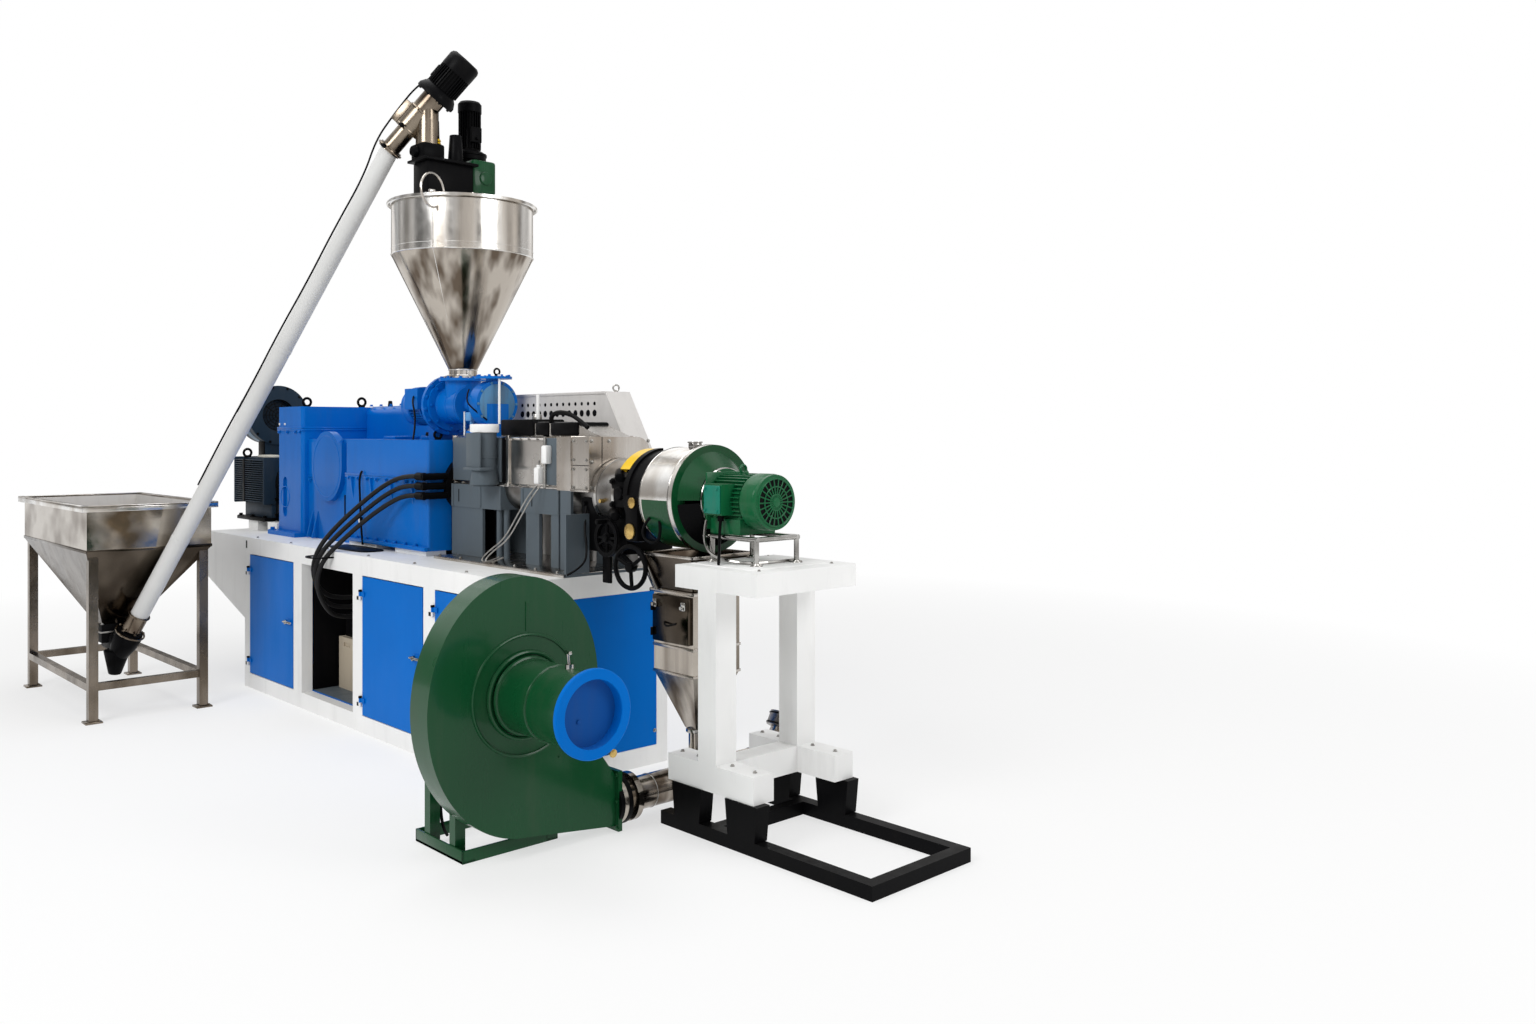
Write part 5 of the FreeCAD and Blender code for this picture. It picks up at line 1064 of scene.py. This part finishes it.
class EXTRUDER_OT_bin(bpy.types.Operator):
    """Folded lip, corner posts, seam band and funnel sheet of the loading bin"""
    bl_idname = "extruder.bin"
    bl_label = "Loading bin"

    def execute(self, context):
        x0, x1, y0, y1 = -2365, -1065, -1420, -810
        rim = 28
        rx0, rx1, ry0, ry1 = x0 - rim, x1 + rim, y0 - rim, y1 + rim
        lip = bmesh.new()
        for y in ((ry0, ry0 + 3), (ry1 - 3, ry1)):
            brick(lip, (rx0, rx1), y, (1090, 1119), 1)
        for x in ((rx0, rx0 + 3), (rx1 - 3, rx1)):
            brick(lip, x, (ry0, ry1), (1090, 1119), 1)
        for y in ((ry0, y0), (y1, ry1)):
            brick(lip, (rx0, rx1), y, (1118, 1123), 2)
        for x in ((rx0, x0), (x1, rx1)):
            brick(lip, x, (ry0, ry1), (1118, 1123), 2)
        add_piece("bin_lip", lip, "hopper_stainless")
        lining = bmesh.new()
        brick(lining, (x0 + 5, x1 - 5), (y1 - 6, y1 - 4), (890, 1112), 0.5)
        brick(lining, (x0 + 4, x0 + 6), (y0 + 5, y1 - 6), (890, 1112), 0.5)
        add_piece("bin_lining", lining, "guard_paint")
        funnel = bmesh.new()
        for y in ((y0 - 4, y0), (y1, y1 + 4)):
            brick(funnel, (x0 - 4, x1 + 4), y, (876, 892), 1)
        for x in ((x0 - 4, x0), (x1, x1 + 4)):
            brick(funnel, x, (y0, y1), (876, 892), 1)
        top = [(x0 - 2, y0 - 2, 882), (x1 + 2, y0 - 2, 882), (x1 + 2, y1 + 2, 882), (x0 - 2, y1 + 2, 882)]
        low = [(-1477, -1278, 470), (-1323, -1278, 470), (-1323, -1124, 470), (-1477, -1124, 470)]
        for i, (x, y, _) in enumerate((FRONT, RIGHT, BACK, LEFT)):
            j = (i + 1) % 4
            slab(funnel, [top[i], top[j], low[j], low[i]], (2 * x, 2 * y, -1))
        add_piece("bin_funnel", funnel, "funnel_stainless")
        feet = bmesh.new()
        for x, y in product((-2330, -1100), (-1386, -845)):
            brick(feet, (x - 40, x + 40), (y - 40, y + 40), (0, 10), 2)
            rod(feet, (x, y, 10), (x, y, 34), 13, sides=20)
            bolt(feet, (x + 26, y + 26, 10), UP, 6)
        add_piece("bin_feet", feet, "dark_stainless")
        return {"FINISHED"}


class EXTRUDER_OT_zones(bpy.types.Operator):
    """Slots, gap, panels, valves, duct rings and cable of the heating zones"""
    bl_idname = "extruder.zones"
    bl_label = "Zones"

    def execute(self, context):
        dark = bmesh.new()
        brick(dark, (408, 414), (-137, -134), (1156, 1218), 1)
        brick(dark, (1068, 1073), (-137, -134), (1160, 1214), 1)
        brick(dark, (796, 836), (-125, -120), (1250, 1476), 2)
        brick(dark, (722, 1006), (-88, 88), (1482, 1560), 7)
        brick(dark, (1018, 1130), (-88, 88), (1482, 1548), 14)
        brick(dark, (1146, 1362), (-88, 88), (1482, 1545), 10)
        # Black sheet behind the first column: painted shade where the gearbox end face is seen through the
        # gap.
        brick(dark, (320, 324), (-125, 250), (893, 1130), 0.5)
        wire(dark, [(1120, -60, 1540), (1140, -84, 1576), (1230, -88, 1592), (1340, -86, 1574),
                    (1430, -80, 1520)], 11)
        add_piece("zone_dark", dark, "black_paint")
        pale = bmesh.new()
        for step in (0, 34):
            wire(pale, [(1150 + step, -160, 1262), (1150 + step, -205, 1215), (1084 + step, -222, 1122),
                        (985 + step, -228, 1010), (860 + step, -232, 950), (790 + step, -240, 897),
                        (880 + step, -246, 899), (960 + step, -236, 930)], 3.6)
        rod(pale, (905, 0, 1560), (905, 0, 1586), 24, 20, 3)
        rod(pale, (1178, -136, 1250), (1178, -136, 1480), 7)
        add_piece("zone_cables", pale, "bolt_steel")
        steel = bmesh.new()
        brick(steel, (838, 862), (-130, -118), (1243, 1484), 2)
        brick(steel, (333, 341), (-127, 127), (1241, 1484), 2)
        brick(steel, (1276, 1284), (-127, -118), (1241, 1484), 2)
        brick(steel, (333, 853), (-128, -121), (1243, 1258), 2)
        brick(steel, (862, 1282), (-128, -121), (1243, 1258), 2)
        brick(steel, (380, 1500), (-256, 254), (891, 894.5), 1)
        brick(steel, (380, 1500), (-256, -253), (880.5, 894), 1)
        add_piece("zone_edges", steel, "stainless")
        panels = bmesh.new()
        brick(panels, (1180, 1274), (-130, -121), (1262, 1474), 3)
        brick(panels, (345, 792), (-130, -121), (1262, 1474), 3)
        brick(panels, (672, 798), (-246, -236), (1330, 1496), 4)
        brick(panels, (660, 812), (-254, -190), (1320, 1334), 3)
        ring(panels, (735, -182, 1380), UP, 56, 3)
        spun(panels, [(56, 0), (68, 0), (69, 8), (58, 64), (56, 64)], (735, -182, 1252), (735, -182, 1316))
        for x in (345, 610, 985, 1275):
            brick(panels, (x - 4, x + 14), (-139, -134), (1134, 1240), 2)
        add_piece("zone_panels", panels, "zone_grey")
        white = bmesh.new()
        rod(white, (735, -182, 1498), (735, -182, 1538), 68, soft=5)
        brick(white, (1118, 1156), (-158, -121), (1266, 1340), 6)
        rod(white, (1137, -140, 1340), (1137, -140, 1352), 11)
        brick(white, (1184, 1226), (-162, -129), (1358, 1440), 7)
        rod(white, (974, -40, 1540), (974, -40, 1676), 8)
        add_piece("zone_valves", white, "frame_white")
        screws = bmesh.new()
        for row in (range(360, 840, 78), range(885, 1170, 70)):
            bolt_rows(screws, row, -128, 1250, FRONT, 5)
            bolt_rows(screws, row, -122, 1468, FRONT, 4)
        bolt_rows(screws, (400, 600, 900, 1080, 1250, 1420), -232, 892, UP, 8)
        rod(screws, (1137, -140, 1352), (1137, -140, 1372), 5)
        add_piece("zone_screws", screws, "bolt_steel")
        return {"FINISHED"}


class EXTRUDER_OT_guard(bpy.types.Operator):
    """Plugs in the guard's holes, its lifting eye, and the end cover's seam and screws"""
    bl_idname = "extruder.guard"
    bl_label = "Guard and end cover"

    def execute(self, context):
        dark = bmesh.new()
        for x in range(507, 1132, 52):
            rod(dark, (x, 169, 1590), (x, 182, 1590), 15.8, sides=24)
            rod(dark, (x, 169, 1635), (x, 182, 1635), 8.8, sides=20)
        brick(dark, (1558, 1561.5), (-99, -96), (1243, 1480), 0.5)
        brick(dark, (1440, 1556), (-167, -164), (1355, 1358), 0.5)
        add_piece("guard_dark", dark, "black_paint")
        edge = bmesh.new()
        brick(edge, (417, 1226), (166, 173), (1678, 1691), 2)
        slab(edge, [(1221, 166, 1691), (1221, 166, 1678), (1458, 166, 1306), (1471, 166, 1306)], (0, 7, 0), 2)
        brick(edge, (1458, 1471), (166, 173), (892, 1308), 2)
        add_piece("guard_edge", edge, "guard_paint")
        screws = bmesh.new()
        bolt_rows(screws, 1560, (-152, 152), (1262, 1372, 1462), RIGHT, 6)
        bolt(screws, (1560, -60, 1462), RIGHT, 6)
        bolt_rows(screws, (1446, 1540), -165, (1262, 1340, 1380, 1462), FRONT, 5)
        eye(screws, (1205, 240, 1688), 6, 14, 4, (0.7, -0.7, 0))
        add_piece("cover_screws", screws, "bolt_steel")
        lip = bmesh.new()
        brick(lip, (1424, 1562), (-170, -163), (1243, 1256), 2)
        brick(lip, (1424, 1432), (-169, 169), (1243, 1483), 2)
        add_piece("cover_lip", lip, "stainless")
        return {"FINISHED"}


class EXTRUDER_OT_die(bpy.types.Operator):
    """Clamp, yellow band, fittings, two handwheels and a cable of the die head"""
    bl_idname = "extruder.die"
    bl_label = "Die head"

    def execute(self, context):
        dark = bmesh.new()
        brick(dark, (1690, 1826), (-150, -112), (1181, 1312), 14)
        rod(dark, (1758, -150, 1246), (1758, -164, 1246), 30, 26, 3)
        bolt_rows(dark, (1708, 1808), -150, (1198, 1294), FRONT, 10)
        spun(dark, [(184, 0), (199, 0), (199, 28), (184, 28), (184, 0)],
             on_screw(1842), on_screw(1870), 32, 84, 93)
        spun(dark, [(184, 0), (191, 0), (191, 104), (184, 104), (184, 0)], on_screw(1834), on_screw(1938), 72)
        spun(dark, [(124, 0), (180, 0), (180, 6), (124, 6), (124, 0)],
             on_screw(1800), on_screw(1806), 32, 50, 95)
        rod(dark, (1752, -142, 1330), (1790, -176, 1310), 24, 20, 4)
        rod(dark, (1700, -140, 1160), (1760, -176, 1150), 26, 20, 5)
        bolt_circle(dark, on_screw(1830), LEFT, 162, 12, 11, 10)
        ring(dark, on_wheel(-180), BACK, 70, 10)
        rod(dark, on_wheel(-120), on_wheel(-196), 17, soft=3)
        for i in range(3):
            across, rise, _ = around(68, 90 + 120 * i)
            rod(dark, on_wheel(-180), Vector(on_wheel(-180)) + Vector((across, 0, rise)), 7)
        rod(dark, (1710, -188, 1130), (1710, -236, 1130), 9, 11, 3)
        brick(dark, (1612, 1668), (-134, -121), (862, 1010), 4)
        brick(dark, (1846, 1926), (-192, -140), (1056, 1252), 10)
        hub, face = Vector((1896, -200, 954)), Vector((0.14, -0.99, 0))
        ring(dark, hub, face, 84, 10, 48)
        rod(dark, hub - face * 20, hub + face * 14, 20, soft=3, sides=28)
        for i in range(3):
            rod(dark, hub, aim(hub, face) @ around(82, 35 + 120 * i), 8, sides=28)
        rod(dark, hub - face * 20, (1700, -118, 1000), 11, sides=28)
        wire(dark, [(1480, -122, 1180), (1500, -150, 1100), (1540, -160, 1000), (1560, -190, 930),
                    (1520, -250, 894)], 5)
        bolt_rows(dark, (1470, 1740), -120, (1010, 1190), FRONT, 10)
        add_piece("die_dark", dark, "black_paint")
        band = bmesh.new()
        spun(band, [(176, 0), (197, 0), (197, 64), (176, 64), (176, 0)],
             on_screw(1776), on_screw(1840), 32, 50, 95)
        add_piece("die_band", band, "yellow_paint")
        brass = bmesh.new()
        rod(brass, (1898, -192, 1214), (1898, -200, 1214), 22, soft=2)
        rod(brass, (1886, -192, 1098), (1886, -202, 1098), 32, soft=3)
        rod(brass, (1640, -140, 1210), (1640, -168, 1210), 9, sides=6)
        add_piece("die_fittings", brass, "brass")
        steel = bmesh.new()
        for x in (1574, 1700):
            spun(steel, [(149, 0), (153, 0), (153, 16), (149, 16)], on_screw(x), on_screw(x + 16))
        bolt_circle(steel, on_screw(1730), LEFT, 140, 10, 8)
        add_piece("die_rings", steel, "polished_steel")
        return {"FINISHED"}


class EXTRUDER_OT_cutter(bpy.types.Operator):
    """Rims, cover halves with a painted shadow over the lower half, a painted green reflection on the drum,
    finned motor, terminal box and grille of the cutter
    """
    bl_idname = "extruder.cutter"
    bl_label = "Cutter"

    def execute(self, context):
        fins = context.scene.extruder_sizes.fins
        bright = bmesh.new()
        for x, radius in ((1958, 203), (2138, 204), (2148, 215)):
            ring(bright, on_screw(x), RIGHT, radius, 2, sides=80)
        wire(bright, [(2262, -112, 1160), (2250, -122, 1090), (2330, -150, 1026), (2470, -120, 1009),
                      (2520, -20, 1009), (2506, 130, 1009)], 6)
        ring(bright, on_screw(2244), RIGHT, 122, 5)
        rod(bright, (2062, 0, 1434), (2062, 0, 1456), 27, soft=3)
        rod(bright, (2062, 0, 1456), (2062, 0, 1462), 31, soft=2)
        for x, y in product((2288, 2536), (-105, 105)):
            rod(bright, (x, y, 1000), (x, y, 1006), 24, soft=2)
            rod(bright, (x, y, 1006), (x, y, 1014), 15, 11, 1)
        bolt_circle(bright, on_screw(2252), RIGHT, 110, 8, 7, 20)
        add_piece("cutter_rims", bright, "polished_steel", CARRIAGE)
        green_face_and_reflection = bmesh.new()
        # Green shell over the drum's lower part: a painted green reflection.
        spun(green_face_and_reflection, [(203, 0), (206, 1), (206, 166), (203, 168)], on_screw(1972), on_screw(2140), 64,
             165, 181)
        spun(green_face_and_reflection, [(150, 0), (215, 0), (215, 4), (150, 5), (150, 0)],
             (2171.5, 0, 1235), (2176.5, 0, 1235), 80)
        add_piece("cutter_green_face_and_reflection", green_face_and_reflection, "blower_green", CARRIAGE)
        dark = bmesh.new()
        # Black wedge over the lower half of the cover: painted shadow.
        spun(dark, [(0, 58), (124, 60), (188, 2), (150, 0), (0, 0)], on_screw(2174), on_screw(2234), 48,
             170, 185)
        wire(dark, [(2010, -192, 1160), (2000, -226, 1120), (2010, -214, 1070), (2060, -200, 1060),
                    (2080, -190, 1100), (2064, -186, 1150)], 6)
        rod(dark, on_screw(2529), (2531.5, 0, 1235), 90)
        rod(dark, (2342, -110, 1184), (2342, -110, 1160), 12)
        wire(dark, [(2342, -110, 1164), (2342, -116, 1120), (2380, -150, 1050), (2420, -190, 1008)], 6)
        add_piece("cutter_dark", dark, "black_paint", CARRIAGE)
        green = bmesh.new()
        fin_ring(green, on_screw(2256), on_screw(2438), 91, 107, fins + 10, 4)
        spun(green, [(90, 0), (108, 3), (108, 66), (99, 84), (92, 89), (92, 86), (0, 86)],
             on_screw(2442), on_screw(2531))
        brick(green, (2254, 2264), (-112, 112), (1125, 1345), 8)
        brick(green, (2294, 2390), (-150, -60), (1187, 1301), 5)
        eye(green, (2350, 0, 1336), 6, 15, 5)
        bolt_rows(green, (2276, 2418), (-78, 78), 1168, UP, 8)
        grille(green, on_screw(2533), RIGHT, 90, 3, 22, 3)
        rod(green, on_screw(2531), on_screw(2537), 17, soft=2)
        add_piece("cutter_motor_trim", green, "motor_green", CARRIAGE)
        cover = bmesh.new()
        brick(cover, (2297, 2387), (-159, -149), (1190, 1298), 5)
        bolt_rows(cover, (2308, 2376), -159, (1202, 1286), FRONT, 5)
        add_piece("cutter_box_cover", cover, "teal_cover", CARRIAGE)
        return {"FINISHED"}


class EXTRUDER_OT_stand(bpy.types.Operator):
    """Table plate and bolts of the cutter stand and its rails"""
    bl_idname = "extruder.stand"
    bl_label = "Cutter stand"

    def execute(self, context):
        plate = bmesh.new()
        brick(plate, (2272, 2620), (-200, 220), (998, 1003), 2)
        add_piece("stand_plate", plate, "frame_white", CARRIAGE)
        screws = bmesh.new()
        bolt_rows(screws, (2292, 2640), (-190, 190), 1000, UP, 5)
        bolt_rows(screws, (2236, 2330, 2520, 2640), (-210, 210), 280, UP, 6)
        add_piece("stand_bolts", screws, "bolt_steel", CARRIAGE)
        return {"FINISHED"}


class EXTRUDER_OT_collector(bpy.types.Operator):
    """Ledges, door box, latches and brace of the pellet collector"""
    bl_idname = "extruder.collector"
    bl_label = "Collector"

    def execute(self, context):
        sheet = bmesh.new()
        for z, half in ((858, 136), (1004, 167)):
            for y in (-half, half - 8):
                brick(sheet, (COLLECTOR - half, COLLECTOR + half), (y, y + 8), (z, z + 14), 2)
            for x in (COLLECTOR - half, COLLECTOR + half - 8):
                brick(sheet, (x, x + 8), (-half, half), (z, z + 14), 2)
        for z in (534, 640):
            brick(sheet, (COLLECTOR - 126, COLLECTOR + 126), (-127, -121), (z, z + 12), 2)
            brick(sheet, (COLLECTOR + 121, COLLECTOR + 127), (-126, 126), (z, z + 12), 2)
        add_piece("collector_sheet", sheet, "stainless")
        hood = bmesh.new()
        brick(hood, (1960, 2184), (-140, -121), (664, 850), 4)
        slab(hood, [(2238, -165, 1006), (2238, 165, 1006), (2196, 122, 868), (2196, -122, 868)], (3, 0, 0))
        slab(hood, [(1907, -167, 1006), (2237, -167, 1006), (2195, -124, 868), (1949, -124, 868)], (0, -3, 0))
        add_piece("collector_hood", hood, "funnel_stainless")
        steel = bmesh.new()
        rod(steel, (1942, -176, 1004), (1990, -140, 872), 9)
        rod(steel, (COLLECTOR, 0, 306), (COLLECTOR, 0, 290), 44, soft=3)
        for x in (1984, 2160):
            brick(steel, (x - 12, x + 12), (-150, -139), (800, 834), 3)
            rod(steel, (x, -150, 812), (x, -160, 812), 7)
        add_piece("collector_brace", steel, "polished_steel")
        dark = bmesh.new()
        rod(dark, (1940, -180, 1008), (1934, -190, 1030), 16, 12, 3, 28)
        for z in (700, 800):
            rod(dark, (1962, -143, z - 16), (1962, -143, z + 16), 6)
        wire(dark, [(2040, -141, 745), (2060, -158, 735), (2090, -158, 735), (2110, -141, 745)], 4)
        add_piece("collector_latches", dark, "black_paint")
        return {"FINISHED"}


class EXTRUDER_OT_blower(bpy.types.Operator):
    """Raised rings, blue inlet, lever, flange bolts, motor fins and floor frame of the blower"""
    bl_idname = "extruder.blower"
    bl_label = "Blower"

    def execute(self, context):
        green = bmesh.new()
        for x, radius, thick in ((2133, 212, 6), (2138, 150, 8)):
            ring(green, on_blower(x), RIGHT, radius, thick, sides=72)
        brick(green, (2130, 2135), (-842, -838), (800, 905), 1)
        fin_ring(green, on_blower(1742), on_blower(1994), 94, 110, 34, 4)
        spun(green, [(0, -1), (84, 0), (100, 8), (106, 22), (106, 62), (92, 64)],
             on_blower(1676), on_blower(1740))
        spun(green, [(94, 0), (122, 0), (122, 12), (94, 12)], on_blower(1998), on_blower(2010))
        spun(green, [(120, 0), (130, 0), (130, 382), (119, 382), (119, 90)], on_blower(2142), on_blower(2524))
        ring(green, on_blower(2152), RIGHT, 131, 9)
        ring(green, on_blower(2330), RIGHT, 130, 5)
        brick(green, (1800, 1920), (-880, -800), (664, 728), 6)
        for y in ((-1036, -984), (-696, -644)):
            brick(green, (1700, 2040), y, (0, 12), 2)
            brick(green, (1700, 2040), (y[0], y[0] + 8), (0, 46), 2)
        for x in (1700, 2032):
            brick(green, (x, x + 8), (-1036, -644), (0, 46), 2)
        bolt_rows(green, (2000, 2144), -450, (20, 119, 218), FRONT, 7)
        for y, z in ((-620, 400), (-560, 300), (-700, 330)):
            bolt(green, (2132, y, z), RIGHT, 4)
        add_piece("blower_trim", green, "blower_green")
        blue = bmesh.new()
        spun(blue, [(118, 0), (118, 28), (147, 28), (150, 31), (150, 43), (147, 46), (116, 46), (114, 44),
                    (114, 0), (118, 0)], on_blower(2497), on_blower(2543), 80)
        add_piece("blower_inlet", blue, "door_blue")
        deep = bmesh.new()
        # The inlet's back wall in a darker copy of the door blue: painted shade in the recess.
        spun(deep, [(116, 4), (100, 1), (60, 0), (0, 0)], on_blower(2497), on_blower(2600))
        rod(deep, (2497, -872, 548), (2503, -872, 548), 7, soft=2)
        add_piece("blower_inlet_back", deep, "shaded_door_blue")
        dark = bmesh.new()
        grille(dark, on_blower(1674), LEFT, 84, 4, 10)
        wire(dark, [(1860, -880, 700), (1850, -930, 660), (1830, -960, 520), (1800, -990, 300),
                    (1790, -985, 60), (1760, -940, 14)], 6)
        add_piece("blower_dark", dark, "black_paint")
        lever = bmesh.new()
        rod(lever, (2400, -840, 700), (2400, -846, 756), 5)
        rod(lever, (2374, -836, 758), (2438, -862, 764), 6, soft=1)
        rod(lever, (2400, -840, 702), (2400, -840, 720), 14)
        bolt_rows(lever, (1724, 2014), (-1010, -670), 12, UP, 9)
        add_piece("blower_lever", lever, "polished_steel")
        return {"FINISHED"}


class EXTRUDER_OT_pipe(bpy.types.Operator):
    """Flange bolts, seams and clamp of the pick-up pipe"""
    bl_idname = "extruder.pipe"
    bl_label = "Pick-up pipe"

    def execute(self, context):
        steel = bmesh.new()
        for y, side in ((-432, -1), (-400, 1)):
            bolt_circle(steel, on_pipe(y), (0, side, 0), 79, 8, 6, 22.5)
        for y in (-250, -60, 120, 300):
            ring(steel, on_pipe(y), BACK, 64, 2)
        add_piece("pipe_bolts", steel, "bolt_steel")
        black = bmesh.new()
        for y in (-446, -408):
            spun(black, [(63, 0), (94, 0), (94, 18), (63, 18), (63, 0)], on_pipe(y), on_pipe(y + 18))
        spun(black, [(63, 0), (72, 0), (72, 46), (63, 46), (63, 0)], on_pipe(-440), on_pipe(-394))
        add_piece("pipe_flanges", black, "black_paint")
        rise = math.radians(62)
        bend, foot = 200, 104
        tip = Vector((COLLECTOR, 325 + bend * math.sin(rise), foot + bend * (1 - math.cos(rise))))
        way = Vector((0, math.cos(rise), math.sin(rise)))
        dark = bmesh.new()
        for s in (8, 50):
            ring(dark, tip + way * s, way, 86, 4, 40)
        lug = tip + way * 30
        rod(dark, lug + Vector((86, 0, 0)), lug + Vector((112, 0, 0)), 12, soft=2, sides=6)
        add_piece("pipe_clamp", dark, "black_paint")
        return {"FINISHED"}


class EXTRUDER_PT_panel(bpy.types.Panel):
    """Steps that dress the extruder"""
    bl_idname = "EXTRUDER_PT_panel"
    bl_label = "Extruder"
    bl_space_type = "VIEW_3D"
    bl_region_type = "UI"
    bl_category = "Extruder"

    def draw(self, context):
        for operator in OPERATORS:
            self.layout.operator(operator.bl_idname)


OPERATORS = [
    EXTRUDER_OT_finishes, EXTRUDER_OT_stage, EXTRUDER_OT_hoses, EXTRUDER_OT_base, EXTRUDER_OT_motor,
    EXTRUDER_OT_gearbox, EXTRUDER_OT_feeder, EXTRUDER_OT_hopper, EXTRUDER_OT_agitator, EXTRUDER_OT_auger,
    EXTRUDER_OT_bin, EXTRUDER_OT_zones, EXTRUDER_OT_guard, EXTRUDER_OT_die, EXTRUDER_OT_cutter,
    EXTRUDER_OT_stand, EXTRUDER_OT_collector, EXTRUDER_OT_blower, EXTRUDER_OT_pipe,
]
CLASSES = [ExtruderPaint, ExtruderSizes, *OPERATORS, EXTRUDER_PT_panel]


def register():
    for item in CLASSES:
        bpy.utils.register_class(item)
    bpy.types.Scene.extruder_paint = PointerProperty(type=ExtruderPaint)
    bpy.types.Scene.extruder_sizes = PointerProperty(type=ExtruderSizes)


def unregister():
    del bpy.types.Scene.extruder_sizes, bpy.types.Scene.extruder_paint
    for item in reversed(CLASSES):
        bpy.utils.unregister_class(item)


def main():
    """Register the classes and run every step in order."""
    register()
    for operator in OPERATORS:
        family, name = operator.bl_idname.split(".")
        getattr(getattr(bpy.ops, family), name)()


if __name__ == "__main__":
    main()
